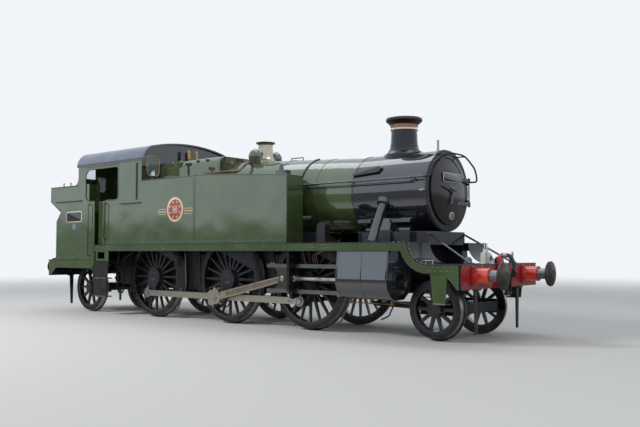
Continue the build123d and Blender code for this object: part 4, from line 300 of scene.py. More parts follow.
# CAD nodes and their materials
looks = (
    (TYRE, "leading_tyres front_tyres main_tyres rear_tyres trailing_tyres"),
    (WHEEL, "leading_wheels front_wheels main_wheels rear_wheels trailing_wheels"),
    (FRAME, "main_frames motion_brackets ashpan splashers leading_truck trailing_truck brake_gear"),
    (STEP_GREEN, "steps"),
    (SMOKE_BLACK, "smokebox steam_pipes handrails backhead saddle"),
    (CHIMNEY, "chimney"),
    (DOOR_BLACK_PAINTED_REFLECTION, "smokebox_door"),
    (CYLINDER, "cylinders cylinder_covers"),
    (GREEN, "boiler firebox side_tanks tank_lid_right tank_lid_left cab_sides cab_floor feed_covers "
            "cab_door_right cab_door_left"),
    (CAB_ENDS, "cab_ends"),
    (BUNKER, "bunker"),
    (RUNNING_GREEN, "valances"),
    (PLATE, "footplate"),
    (ROOF, "cab_roof"),
    (BEAM, "buffer_beams"),
    (STOCK, "buffer_stocks vacuum_pipes"),
    (BUFFER, "buffer_heads"),
    (HOOK, "draw_hooks"),
    (GUIDE, "slide_bars"),
    (HEAD, "crosshead_right crosshead_left"),
    (ROD, "coupling_rods_right coupling_rods_left"),
    (CON_ROD, "connecting_rod_right connecting_rod_left"),
    (COPPER, "chimney_cap"),
    (BONNET, "safety_valve_bonnet"),
    (PIPE, "pipework"),
    (FITTINGS, "fittings"),
    (HOSE, "vacuum_hoses"),
    (LAMP, "headlamp"),
)
for material, names in looks:
    for name in names.split():
        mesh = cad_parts[name].data
        mesh.materials.clear()
        mesh.materials.append(material)


# Mesh helpers


def spread(centre, axis, radius, count, first=0.0):
    """Points round a circle about an axis."""
    axis = Vector(axis).normalized()
    across = axis.orthogonal().normalized()
    other = axis.cross(across)
    turns = [first + 2 * pi * k / count for k in range(count)]
    return [Vector(centre) + (across * cos(a) + other * sin(a)) * radius for a in turns]


def put(name, data):
    """A new object in the scene."""
    made = bpy.data.objects.new(name, data)
    scene.collection.objects.link(made)
    return made


class Build:
    """Collects small solids into one mesh that rides on one body."""

    def __init__(self):
        self.verts, self.faces = [], []

    def rings(self, rings, closed=False):
        """Skins a run of rings that have the same number of points."""
        start, count, last = len(self.verts), len(rings[0]), len(rings) - 1
        self.verts += [tuple(p) for ring in rings for p in ring]
        faces = []
        for i in range(last + closed):
            j = (i + 1) % len(rings)
            for k in range(count):
                m = (k + 1) % count
                faces.append((i * count + k, i * count + m, j * count + m, j * count + k))
        if not closed:
            faces.append(tuple(range(count - 1, -1, -1)))
            faces.append(tuple(last * count + k for k in range(count)))
        self.faces += [tuple(start + i for i in f) for f in faces]

    def turned(self, centre, axis, profile, sides=24):
        """A shape turned about an axis; profile is (distance along it, radius)."""
        way = Vector(axis).normalized()
        self.rings([spread(Vector(centre) + way * along, axis, radius, sides) for along, radius in profile])

    def rivet(self, at, normal, radius):
        dome = ((-0.001, radius), (radius * 0.3, radius * 0.92), (radius * 0.62, radius * 0.5))
        self.turned(at, normal, dome, 8)

    def row(self, start, end, pitch, normal, radius):
        """Rivets in a straight line at about the pitch, both ends included."""
        start, end = Vector(start), Vector(end)
        count = max(1, round((end - start).length / pitch))
        for k in range(count + 1):
            self.rivet(start.lerp(end, k / count), normal, radius)

    def column(self, x, y, low, high, pitch, normal, radius):
        self.row((x, y, low), (x, y, high), pitch, normal, radius)

    def nut(self, at, normal, radius):
        self.turned(at, normal, ((-0.001, radius), (radius * 0.9, radius), (radius * 1.05, radius * 0.8)), 6)
        self.turned(at, normal, ((radius, radius * 0.5), (radius * 1.5, radius * 0.45)), 8)

    def circle(self, centre, axis, ring_radius, count, radius, nuts=False, first=0.0):
        """Nuts or rivets round a circle, facing along its axis."""
        for at in spread(centre, axis, ring_radius, count, first):
            (self.nut if nuts else self.rivet)(at, Vector(axis).normalized(), radius)

    def bar(self, start, end, width, thick, up=UP, chamfer=0.15):
        """A straight bar of rectangular section with its edges eased."""
        start, end = Vector(start), Vector(end)
        along = (end - start).normalized()
        side = along.cross(Vector(up)).normalized()
        rise = side.cross(along).normalized()
        w, t = width / 2, thick / 2
        c = min(w, t) * chamfer * 2
        section = [(-w + c, -t), (w - c, -t), (w, -t + c), (w, t - c)]
        section += [(-a, -b) for a, b in section]
        self.rings([[p + side * a + rise * b for a, b in section] for p in (start, end)])

    def rail(self, x0, x1, y, z, *section):
        self.bar((x0, y, z), (x1, y, z), *section)

    def tube(self, points, radius, sides=10, closed=False):
        """A round rod through the points, with its rings turned along the way."""
        points = [Vector(p) for p in points]
        rings, count, across = [], len(points), None
        turns = [2 * pi * k / sides for k in range(sides)]
        for i, p in enumerate(points):
            before = points[i - 1] if i or closed else p
            after = points[(i + 1) % count] if i + 1 < count or closed else p
            along = (after - before).normalized()
            across = (across - along * across.dot(along) if across else along.orthogonal()).normalized()
            other = along.cross(across)
            rings.append([p + (across * cos(a) + other * sin(a)) * radius for a in turns])
        self.rings(rings, closed)

    def band(self, line, wide, inward, lift=0.005, sink=0.002, across=AHEAD):
        """A flat strap laid along a line: its width runs along across, inward points into the surface."""
        half, rings = Vector(across) * (wide / 2), []
        for p, n in zip(line, inward):
            p, n = Vector(p), Vector(n).normalized()
            rings.append([p - half + n * sink, p - half - n * lift, p + half - n * lift, p + half + n * sink])
        self.rings(rings)

    def plate(self, centre, normal, up, width, height, thick, corner=0.02, steps=5):
        """A flat plate with round corners standing on a surface."""
        normal, up, centre = Vector(normal).normalized(), Vector(up).normalized(), Vector(centre)
        side = up.cross(normal)
        wide, high = width / 2 - corner, height / 2 - corner
        outline = []
        for sx, sy, start in ((1, 1, 0), (-1, 1, 90), (-1, -1, 180), (1, -1, 270)):
            for k in range(steps + 1):
                a = radians(start + 90 * k / steps)
                outline.append((sx * wide + corner * cos(a), sy * high + corner * sin(a)))
        ease = min(thick * 0.4, 0.003)
        rings = []
        for depth, shrink in ((-0.001, 0.0), (thick - ease, 0.0), (thick, ease)):
            sx, sy = (width - 2 * shrink) / width, (height - 2 * shrink) / height
            rings.append([centre + side * a * sx + up * b * sy + normal * depth for a, b in outline])
        self.rings(rings)

    def make(self, name, material, slot=None, body=LOCO, smooth=38):
        mesh = bpy.data.meshes.new(name)
        mesh.from_pydata(self.verts, [], self.faces)
        mesh.update()
        mesh.materials.append(material)
        for polygon in mesh.polygons:
            polygon.use_smooth = True
        mesh.set_sharp_from_angle(angle=radians(smooth))
        made = put(name, mesh)
        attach(made, body)


def rounded(points, radii, steps=6):
    """Points along straight runs with round corners."""
    points = [Vector(p) for p in points]
    line = [points[0]]
    for i in range(1, len(points) - 1):
        before, at, after = points[i - 1 : i + 2]
        a, b = (before - at).normalized(), (after - at).normalized()
        turn = pi - a.angle(b)
        radius = radii if isinstance(radii, (int, float)) else radii[i - 1]
        if turn < 0.02 or radius == 0:
            line.append(at)
            continue
        reach = radius * tan(turn / 2)
        start = at + a * reach
        middle = at + (a + b).normalized() * (radius / cos(turn / 2))
        for k in range(steps + 1):
            axis = (start - middle).cross(at + b * reach - middle)
            line.append(middle + Matrix.Rotation(turn * k / steps, 3, axis) @ (start - middle))
    line.append(points[-1])
    return line


def barrel(x):
    """Radius and centre height of the tapered boiler."""
    share = (SMOKEBOX_X - x) / 3.352
    return 0.69 + 0.09 * share, SMOKEBOX_Z + 0.09 * share


def hoop(x, radius, height, start=0, end=360, count=96):
    """Points round a barrel with the way into it, from the left side up over the top."""
    line, inward = [], []
    for k in range(count + 1):
        a = radians(start + (end - start) * k / count)
        out = Vector((0, cos(a), sin(a)))
        line.append(Vector((x, 0, height)) + out * radius)
        inward.append(-out)
    return line, inward


def outline_inward(line, centre):
    """Ways into a closed section in Y and Z, for each point of its line."""
    inward = []
    for i, p in enumerate(line):
        before, after = line[max(i - 1, 0)], line[min(i + 1, len(line) - 1)]
        along = (after - before).normalized()
        out = Vector((0, -along.z, along.y))
        inward.append(out if out.dot(p - Vector(centre)) < 0 else -out)
    return inward


def moved(line, x):
    return [Vector((x, p.y, p.z)) for p in line]


def mirrored(points, side):
    """Points given for the left side, on either side."""
    return [(x, side * y, z) for x, y, z in points]


def arched(x, y, z, radius, turns):
    """Points about a centre in a plane across the locomotive."""
    return [(x, y + radius * cos(a), z + radius * sin(a)) for a in turns]


green, black, gloss, strips, steel, beads, pipes, brass = (Build() for _ in range(8))

# Boiler and firebox bands
bands = Build()
for x, wide in ((3.145, 0.07), (2.33, 0.055), (1.28, 0.055), (-0.135, 0.07)):
    line, inward = hoop(x, *barrel(x))
    bands.band(line, wide, inward, sink=0.006)
shoulder = ((0, -0.795, 2.25), (0, -0.795, 2.9), (0, -0.765, 3.428))
firebox_line = rounded((*shoulder, *mirrored(shoulder[::-1], -1)), (2.0, 0.17, 0.17, 2.0), 10)
firebox_inward = outline_inward(firebox_line, (0, 0, 2.6))
for x in (-0.24, -1.2, -2.03):
    bands.band(moved(firebox_line, x), 0.055, firebox_inward)

# Washout plugs on the firebox shoulders
PLUG = ((-0.01, 0.045), (0.012, 0.045), (0.02, 0.03), (0.034, 0.03))
for side, x in product(SIDES, (-1.75, -1.45, -0.9, -0.6)):
    bands.turned((x, side * 0.74, 3.38), (0, side, 1), PLUG, 12)
bands.make("boiler_bands", GREEN, "green")

# Smokebox: rivet rings with a gap on each shoulder, the rear strap, rows along the shell, the front ring
for x in (3.212, 4.722):
    for p, n in zip(*hoop(x, SMOKEBOX_R, SMOKEBOX_Z)):
        if p.z < 2.75 or abs(p.y) < 0.35 or abs(p.y) > 0.52:
            black.rivet(p, -n, 0.0145)
line, inward = hoop(3.2, SMOKEBOX_R, SMOKEBOX_Z)
gloss.band(line, 0.036, inward, 0.006)
SHELL_ROWS = ((4.2, 4.66, 10.5, 7), (4.2, 4.66, -1.0, 7), (3.3, 3.42, -8, 3), (4.0, 4.66, -24, 9))
for side, (x0, x1, angle, count) in product(SIDES, SHELL_ROWS):
    turn = radians(angle)
    out = Vector((0, side * cos(turn), sin(turn)))
    for k in range(count):
        x = x0 + (x1 - x0) * k / (count - 1)
        black.rivet(Vector((x, 0, SMOKEBOX_Z)) + out * SMOKEBOX_R, out, 0.013)
black.circle((4.7525, 0, SMOKEBOX_Z), AHEAD, 0.662, 44, 0.0095)

# Nuts round the chimney's foot
for k in range(20):
    a = 2 * pi * k / 20
    at = Vector((CHIMNEY_X, 0, 0)) + Vector((cos(a), sin(a), 0)) * 0.325
    rise = sqrt(SMOKEBOX_R**2 - at.y**2)
    black.nut((at.x, at.y, SMOKEBOX_Z + rise + 0.02), (0, at.y / SMOKEBOX_R, rise / SMOKEBOX_R), 0.014)

# Smokebox door: blank plate and disc with their rims, strap bolts and the ring of the dart
door_gloss, door_steel, door_rim = Build(), Build(), Build()
plate_z, disc_at = 2.71, (4.82, 0, 2.055)
door_rim.plate((4.834, 0, plate_z), AHEAD, UP, 0.596, 0.156, 0.014, 0.02)
door_gloss.plate((4.846, 0, plate_z), AHEAD, UP, 0.576, 0.136, 0.004, 0.014)
for y in (-0.25, 0.25):
    door_gloss.turned((4.79, y, plate_z), AHEAD, ((0, 0.014), (0.06, 0.014)), 10)
door_rim.turned(disc_at, AHEAD, ((-0.03, 0.07), (0.012, 0.07), (0.015, 0.066)), 28)
door_gloss.turned(disc_at, AHEAD, ((0.01, 0.058), (0.018, 0.056)), 28)
for z, y in product((2.283, 2.703), (0.2, 0.33, 0.46, 0.58)):
    door_gloss.rivet((4.828, y, z), AHEAD, 0.014)
door_steel.turned((4.83, 0, SMOKEBOX_Z), AHEAD, ((0, 0.062), (0.018, 0.06), (0.024, 0.045)), 24)
door_rim.make("smokebox_door_plate_rims", CREAM, "black", "smokebox_door")
door_gloss.make("smokebox_door_plates", PLATE_BLACK, "black", "smokebox_door")
door_steel.make("smokebox_door_dart_ring", STEEL, "rod_steel", "smokebox_door")

# Cock at the front edge of the smokebox with its handle
COCK = ((0, 0.026), (0.02, 0.026), (0.022, 0.016), (0.05, 0.016), (0.052, 0.024), (0.07, 0.02))
steel.turned((4.69, -0.7, 2.47), (0, -1, 0), COCK, 12)
steel.rail(4.62, 4.76, -0.748, 2.47, 0.016, 0.012)

# Saddle and steam pipe nuts
for side in SIDES:
    for (x0, x1), k, (y, z) in product(((3.35, 3.58), (4.04, 4.4)), range(5), ((0.65, 2.005), (0.68, 1.78))):
        gloss.nut((x0 + (x1 - x0) * k / 4, side * y, z), UP, 0.015)
    axis = Vector((0, -side * 0.4, 0.7)).normalized()
    foot = Vector((CHIMNEY_X, side * 1.04, PLATE_Z))
    gloss.circle(foot + axis * 0.762, -axis, 0.105, 10, 0.012, True)
    gloss.circle((CHIMNEY_X, side * 1.04, 1.626), UP, 0.103, 10, 0.012, True)

# Cylinders: cladding bands with their screws, cover nuts and the front covers' raised centres
cylinder_line = [Vector((0, -1.283, 1.588)), Vector((0, -1.352, 0.985))]
for k in range(15):
    a = radians(-96 * k / 14 + 4)
    cylinder_line.append(Vector((0, -CYL_Y - 0.311 * cos(a), CYL_Z + 0.311 * sin(a))))
for side in SIDES:
    line = [Vector((0, -side * p.y, p.z)) for p in cylinder_line]
    inward = outline_inward(line, (0, side * 1.0, 1.1))
    for x, wide in ((3.362, 0.03), (3.87, 0.018), (4.378, 0.03)):
        gloss.band(moved(line, x), wide, inward, 0.003)
    for x in (3.362, 4.378):
        for p, q, n in zip(line, line[1:], inward):
            step = max(1, round((q - p).length / 0.1))
            for k in range(step):
                at = p.lerp(q, k / step)
                steel.rivet((x, at.y, at.z), -n, 0.006)
    cover = (CYL_FRONT_X + 0.04, side * CYL_Y, CYL_Z)
    gloss.circle(cover, AHEAD, 0.2, 14, 0.017, True)
    gloss.turned(cover, AHEAD, ((-0.002, 0.15), (0.012, 0.145), (0.02, 0.09), (0.022, 0.05)), 32)
    gloss.circle((CYL_REAR_X - 0.04, side * CYL_Y, CYL_Z), ASTERN, 0.2, 14, 0.017, True)
    steel.circle((CYL_REAR_X - 0.14, side * CYL_Y, CYL_Z), ASTERN, 0.07, 4, 0.014, True, 0.78)

# Slide bar bolts and the motion brackets' nuts
for side in SIDES:
    for level, x in product((-1, 1), (1.55, 1.62, 3.2, 3.27)):
        steel.nut((x, side * CYL_Y, CYL_Z + level * 0.265), (0, 0, level), 0.018)
    for z, (x, way) in product((0.55, 0.7, 1.2, 1.36, 1.5), ((2.14, ASTERN), (2.2, AHEAD))):
        black.nut((x, side * 1.2, z), way, 0.014)

# Crosshead pins, oil cups on the rods, the connecting rods' big end nuts and straps
HEAD_PIN = ((-0.003, 0.05), (0.012, 0.05), (0.016, 0.03), (0.028, 0.03), (0.03, 0.02))
ROD_CUP = ((0, 0.024), (0.03, 0.024), (0.034, 0.014), (0.046, 0.014), (0.052, 0.008))
MAIN_CUP = ((0, 0.026), (0.03, 0.026), (0.036, 0.014), (0.048, 0.012))
BIG_END_CUP = ((-0.002, 0.034), (0.034, 0.034), (0.04, 0.02), (0.054, 0.018))
ROD_RING = ((-0.002, 0.082), (0.003, 0.08), (0.004, 0.07))
for name, side, dx, dz, head_x, tilt in CRANK_PINS:
    out = (0, side, 0)
    pin_x, pin_z = MAIN_X + dx, DRIVER_Z + dz
    cross = Build()
    cross.turned((head_x, side * 1.118, CYL_Z), out, HEAD_PIN, 20)
    for x in (-0.12, 0.12):
        cross.turned((head_x + x, side * 1.08, CYL_Z + 0.194), (0, 0, -1), ((0, 0.016), (0.03, 0.014)), 10)
    cross.circle((head_x + 0.19, side * CYL_Y, CYL_Z), ASTERN, 0.05, 4, 0.012, True)
    cross.make(f"crosshead_{name}_pins", STEEL, "rod_steel", f"crosshead_{name}")
    rods = Build()
    for axle_x in (FRONT_X, REAR_X):
        rods.turned((axle_x + dx, side * 0.905, pin_z + 0.092), UP, ROD_CUP, 14)
        rods.turned((axle_x + dx, side * 0.93, pin_z), out, ROD_RING, 32)
    rods.turned((pin_x, side * 0.905, pin_z + 0.115), UP, MAIN_CUP, 14)
    rods.turned((pin_x + 0.3, side * 0.93, pin_z), out, ((-0.002, 0.046), (0.008, 0.046), (0.012, 0.03)), 20)
    rods.make(f"coupling_rod_{name}_oil_cups", ROD, "rod_steel", f"coupling_rods_{name}")
    big = Build()
    pin = Vector((pin_x, side * 1.136, pin_z))
    big.circle(pin, out, 0.062, 6, 0.011, True)
    big.turned(pin, out, ((-0.002, 0.036), (0.014, 0.034), (0.018, 0.02)), 18)
    along = Vector((cos(tilt), 0, sin(tilt)))
    rise = Vector((-sin(tilt), 0, cos(tilt)))
    middle = Vector((pin_x, side * CYL_Y, pin_z))
    for a, b in product((-0.11, 0.11), (-1, 1)):
        big.nut(middle + along * a + rise * (b * 0.143), rise * b, 0.022)
    big.turned(middle + rise * 0.143, rise, BIG_END_CUP, 16)
    for a in (-0.165, 0.165):
        strap = middle + along * a * 0.62 + Vector((0, side * 0.0735, 0))
        big.bar(strap - rise * 0.12, strap + rise * 0.12, 0.02, 0.005, out)
    small = Vector((head_x, side * CYL_Y, CYL_Z))
    big.turned(small + rise * 0.07, rise, ((0, 0.018), (0.024, 0.018), (0.028, 0.01)), 12)
    big.make(f"connecting_rod_{name}_fittings", ROD, "rod_steel", f"connecting_rod_{name}")

# Axle ends and hub rings on the wheels, crank pin caps on the front and rear ones
AXLE_END = ((-0.002, 0.52), (0.004, 0.5), (0.005, 0.44), (0.002, 0.42), (0.002, 0.1))
PIN_CAP = ((-0.002, 0.056), (0.004, 0.054), (0.005, 0.032), (0.012, 0.03), (0.013, 0.01))
for name, axle_x, axle_z, hub, reach in (
    ("front", FRONT_X, DRIVER_Z, 0.2, 0.86), ("main", MAIN_X, DRIVER_Z, 0.2, 0.86),
    ("rear", REAR_X, DRIVER_Z, 0.2, 0.86), ("leading", LEADING_X, LEADING_Z, 0.128, 0.845),
    ("trailing", TRAILING_X, TRAILING_Z, 0.128, 0.845),
):
    ends, pins = Build(), Build()
    for _, side, dx, dz, _, _ in CRANK_PINS:
        at, out = (axle_x, side * reach, axle_z), (0, side, 0)
        ends.turned(at, out, [(along, hub * share) for along, share in AXLE_END] + [(0.001, 0.01)], 32)
        ends.turned(at, out, ((-0.002, hub * 0.9), (0.003, hub * 0.88), (0.003, hub * 0.8)), 36)
        if name in ("front", "rear"):
            pins.turned((axle_x + dx, side * 0.943, axle_z + dz), out, PIN_CAP, 24)
    ends.make(f"{name}_hub_rings", WHEEL, "wheel_black", f"{name}_wheelset")
    if pins.verts:
        pins.make(f"{name}_crank_pin_caps", STEEL, "rod_steel", f"{name}_wheelset")

# Tanks: rivet columns, joint strips, foot angle bolts, top beading, lifting eyes
strip_x, face_x, rivet_x = -0.37, TANK_FRONT_X - 0.002, TANK_FRONT_X + 0.001
for side in SIDES:
    y, out = side * BODY_Y, (0, side, 0)
    # Place, foot, top, pitch
    for x, foot, top, pitch in (
        (-1.972, 1.72, 2.95, 0.072), (0.183, 1.74, 2.9, 0.075), (0.905, 1.72, 2.86, 0.062),
        (1.488, 1.74, 2.84, 0.075), (2.12, 1.72, 2.8, 0.09),
    ):
        green.column(x, y, foot, top, pitch, out, 0.0095)
    strips.bar((strip_x, y + side * 0.002, 1.67), (strip_x, y + side * 0.002, 2.93), 0.07, 0.006, out)
    for dx in (-0.022, 0.022):
        green.column(strip_x + dx, y + side * 0.005, 1.72, 2.9, 0.09, out, 0.0068)
    green.row((-2.08, side * ANGLE_Y, 1.634), (2.13, side * ANGLE_Y, 1.634), 0.0925, out, 0.0115)
    for x0, x1, z0, z1 in ((-2.0, -0.08, 2.955, 2.955), (-0.02, 2.12, 2.95, 2.818)):
        green.row((x0, y, z0), (x1, y, z1), 0.11, out, 0.0062)
    rim = ((TANK_REAR_X, y, 2.986), (-0.04, y, 2.986), (face_x, y, 2.846), (face_x, side * 0.86, 2.846))
    beads.tube(rounded(rim, (0.1, 0.02)), 0.011)
    beads.tube(((face_x, y, 2.84), (face_x, y, 1.665)), 0.009)
    for k in range(5):
        steel.rivet((rivet_x, side * (0.93 + 0.08 * k), 2.815), AHEAD, 0.008)
    for row_y in (1.27, 0.88):
        green.column(rivet_x, side * row_y, 1.72, 2.78, 0.08, AHEAD, 0.007)
    for x, z in ((-1.85, 2.988), (-0.45, 2.988), (0.9, 2.927), (1.95, 2.862)):
        eye = arched(x, side * 1.2, z + 0.018, 0.03, [pi * k / 8 for k in range(9)])
        green.tube([(x, eye[0][1], z - 0.004), *eye, (x, eye[-1][1], z - 0.004)], 0.007, 8)

# A covered valve on the right tank's front top with its lever
covers = Build()
covers.plate((1.745, -0.93, 2.876), UP, AHEAD, 0.16, 0.27, 0.1, 0.02)
covers.turned((1.7, -0.93, 2.97), UP, ((0, 0.05), (0.06, 0.048), (0.1, 0.03), (0.13, 0.028)), 18)
covers.bar((1.7, -0.93, 3.09), (1.9, -0.93, 3.07), 0.02, 0.014)
covers.make("tank_valve_cover", SMOKE_BLACK, "black")

# Lifting handle on the boiler, feed pipes over its shoulders near the front of the tanks
top = sum(barrel(1.3))
handle = [(x, -0.02, top + z) for x, z in ((1.14, -0.01), (1.14, 0.05), (1.46, 0.046), (1.46, -0.01))]
gloss.tube(rounded(handle, 0.02), 0.011)
radius, height = barrel(1.98)
for start, end in ((100, 158), (22, 80)):
    gloss.tube(hoop(1.98, radius + 0.012, height, start, end, 20)[0], 0.014, 8)

# Crest of the builder's own pattern: a quartered roundel between plain bars
red, gold, cream, blue = (Build() for _ in range(4))
for side in SIDES:
    at, out = Vector((-0.962, side * BODY_Y, 2.318)), Vector((0, side, 0))
    gold.turned(at, out, ((-0.001, 0.262), (0.0018, 0.262), (0.0022, 0.258)), 48)
    cream.turned(at, out, ((0.001, 0.246), (0.0028, 0.246)), 48)
    red.turned(at, out, ((0.002, 0.214), (0.0034, 0.214)), 48)
    for k in range(8):
        a = 2 * pi * (k + 0.5) / 8
        stud = at + Vector((0.166 * cos(a), 0, 0.166 * sin(a)))
        gold.turned(stud, out, ((0.002, 0.026), (0.0042, 0.026)), 16)
    gold.turned(at, out, ((0.002, 0.105), (0.0044, 0.105)), 4)
    blue.turned(at, out, ((0.003, 0.07), (0.0054, 0.07)), 4)
    cream.turned(at, out, ((0.004, 0.026), (0.0064, 0.026)), 20)
    y = at.y + side * 0.001
    for x0, x1 in ((-1.52, -1.25), (-0.675, -0.405)):
        for z, build in ((2.226, gold), (2.279, cream), (2.332, gold)):
            build.rail(x0, x1, y, z, 0.014, 0.003, out, 0.05)
        for x in (x0 + 0.006, x1 - 0.006):
            gold.bar((x, y, 2.22), (x, y, 2.338), 0.012, 0.003, out, 0.05)
gold.make("crest_gold", GOLD, "green")
cream.make("crest_cream", CREAM, "green")
red.make("crest_red", CREST_RED, "green")
blue.make("crest_blue", BLUE, "green")

# Cab and bunker sides
for name, side in (("right", -1), ("left", 1)):
    y, bead_y, out = side * BODY_Y, side * (BODY_Y - 0.002), (0, side, 0)
    # Beading round the windows and doorways, rivets
    opening = [(x, bead_y, z) for x, z in (
        (-3.43, 1.62), (-3.43, 2.612), (-2.948, 2.612), (-2.948, 3.36),
        (-4.23, 3.36), (-4.23, 2.612), (-3.865, 2.612), (-3.865, 1.27),
    )]
    beads.tube(rounded(opening, (0.03, 0.1, 0.06, 0.19, 0.15, 0.03)), 0.013)
    for x, foot, top in ((-2.13, 1.72, 3.4), (-2.79, 1.74, 2.56), (-4.52, 1.36, 3.4)):
        green.column(x, y, foot, top, 0.085, out, 0.0072)
    green.row((-4.48, y, 3.425), (-2.17, y, 3.425), 0.095, out, 0.0068)
    green.row((-3.35, y, 1.66), (-2.17, y, 1.66), 0.09, out, 0.0085)
    # Black tube at the cab's front edge with its clips, rain strips along the eaves
    gloss.tube([(-2.272, side * 1.311, z) for z in (2.594, 3.386)], 0.014)
    for z in (2.6, 3.0, 3.38):
        gloss.bar((-2.272, side * 1.293, z), (-2.272, side * 1.316, z), 0.05, 0.03)
    gloss.rail(-4.585, -2.06, side * 1.297, 3.452, 0.012, 0.03)
    gloss.rail(-4.23, -2.9, side * 1.298, 3.41, 0.014, 0.014)
    # Blank number plate and blank disc on the bunker
    plate_rim, number_plate, disc = Build(), Build(), Build()
    disc_at = (-4.698, y, 2.031)
    plate_rim.plate((BUNKER_X, y, 2.272), out, UP, 0.647, 0.258, 0.011, 0.05)
    plate_rim.turned(disc_at, out, ((-0.001, 0.064), (0.002, 0.064)), 24)
    plate_rim.make(f"bunker_plate_rim_{name}", CREAM, "brass")
    number_plate.plate((BUNKER_X, side * (BODY_Y + 0.0095), 2.272), out, UP, 0.609, 0.22, 0.003, 0.036)
    number_plate.make(f"bunker_plate_{name}", PLATE_BLACK, "black")
    disc.turned(disc_at, out, ((0, 0.058), (0.0032, 0.058)), 24)
    disc.make(f"bunker_disc_{name}", BLUE, "green")
    # Bunker rivets, foot angle bolts and rim
    green.column(-5.43, y, 1.37, 2.1, 0.085, out, 0.0072)
    green.column(-5.7, y, 2.72, 2.97, 0.08, out, 0.0072)
    green.row((-5.43, side * ANGLE_Y, 1.282), (-3.93, side * ANGLE_Y, 1.282), 0.0925, out, 0.0088)
    green.row((-5.68, y, 2.985), (-4.6, y, 2.985), 0.1, out, 0.0065)
    rim = [(x, side * rim_y, BUNKER_TOP_Z) for x, rim_y in ((-4.545, 1.29), (-5.735, 1.29), (-5.735, 0))]
    gloss.tube(rounded(rim, (0.03,)), 0.014)

# Bunker rear: rivets on its lower and upper sheets
green.row((BUNKER_LOW_X, -1.2, 1.37), (BUNKER_LOW_X, 1.2, 1.37), 0.1, ASTERN, 0.0072)
SHEETS = ((BUNKER_LOW_X, 1.42, 2.12, 0.085), (-BEAM_X, 2.72, 2.96, 0.08))
for (x, foot, top, pitch), y in product(SHEETS, (-1.25, -0.42, 0.42, 1.25)):
    green.column(x, y, foot, top, pitch, ASTERN, 0.0072)

# Roof: black arched rims, joint strips with rivets
shoulder, eave, crown = 0.35, 3.45, 3.91
rise = crown - eave
bow = ((BODY_Y - shoulder) ** 2 + rise**2 - shoulder**2) / (2 * (rise - shoulder))
tangent = atan2(bow - crown + eave, BODY_Y - shoulder)


def roof_line(x, steps=10):
    """Points over the cab roof from the right eave to the left, with the ways into it."""
    line, inward = [], []
    corner, centre = Vector((x, BODY_Y - shoulder, eave)), Vector((x, 0, crown - bow))
    for k in range(2 * steps + 1):
        if k > steps:
            a, middle, radius = tangent + (pi / 2 - tangent) * (k - steps) / steps, centre, bow
        else:
            a, middle, radius = tangent * k / steps, corner, shoulder
        out = Vector((0, cos(a), sin(a)))
        line.append(middle + out * radius)
        inward.append(-out)
    flip = [Vector((p.x, -p.y, p.z)) for p in line[:-1]]
    back = [Vector((0, -n.y, n.z)) for n in inward[:-1]]
    return flip + line[::-1], back + inward[::-1]


for x in (-4.592, -2.058):
    line, inward = roof_line(x)
    gloss.band(line, 0.028, inward, 0.0, 0.03)
    gloss.tube([p + n * 0.0115 for p, n in zip(line, inward)], 0.011, 8)
roof = Build()
for x, steps in ((-3.75, 10), (-2.9, 10), (-4.52, 20), (-2.13, 20)):
    line, inward = roof_line(x, steps)
    if steps == 10:
        roof.band(line, 0.06, inward, 0.0, 0.004)
    for p, n in zip(line, inward):
        if p.z < crown - 0.01:
            roof.rivet(p, -n, 0.007)
roof.make("roof_strips", ROOF, "roof_grey")

# Spectacle rims and panes
panes = Build()
PANE_EDGE = ((0, 3.11), (0.165, 3.11), (0.165, 3.55), (-0.165, 3.55), (-0.165, 3.11), (-0.001, 3.11))
for (x, way), side in product(((CAB_FRONT_X + 0.004, 1), (CAB_REAR_X - 0.001, -1)), SIDES):
    y = side * 0.985
    brass.tube(rounded([(x, y + dy, z) for dy, z in PANE_EDGE], 0.09), 0.012)
    panes.plate((x - way * 0.006, y, 3.33), (way, 0, 0), UP, 0.326, 0.436, 0.004, 0.085)
panes.make("spectacle_panes", PANE)

# Backhead: dials, valve wheels and gauge glasses
backs, dials = Build(), Build()
r = 0.09
for y in (-0.33, 0.33):
    rim = ((-0.002, r * 0.98), (0.012, r * 0.96), (0.012, r * 0.84), (0.006, r * 0.83))
    backs.turned((-2.37, y, 3.12), ASTERN, rim, 28)
    dials.turned((-2.372, y, 3.12), ASTERN, ((-0.002, r * 0.82), (0.003, r * 0.82)), 28)
for y, z in product((-0.55, -0.4, 0.4, 0.55), (2.5, 2.85)):
    backs.turned((-2.31, y, z), ASTERN, ((0, 0.012), (0.09, 0.012)), 8)
    wheel = arched(-2.405, y, z, 0.05, [2 * pi * k / 16 for k in range(16)])
    backs.tube(wheel, 0.008, 6, closed=True)
    for k in range(3):
        a = pi * k / 3
        hub, spoke = Vector((-2.405, y, z)), Vector((0, cos(a), sin(a))) * 0.05
        backs.tube((hub - spoke, hub + spoke), 0.005, 6)
for y in (-0.26, 0.26):
    for z in (2.56, 2.84):
        backs.turned((-2.38, y, z), ASTERN, ((-0.002, 0.024), (0.03, 0.024), (0.034, 0.012)), 12)
    backs.tube(((-2.402, y, 2.56), (-2.402, y, 2.84)), 0.009, 8)
backs.make("backhead_brass", BRASS, "brass")
dials.make("backhead_dials", DIAL, "lamp_white")

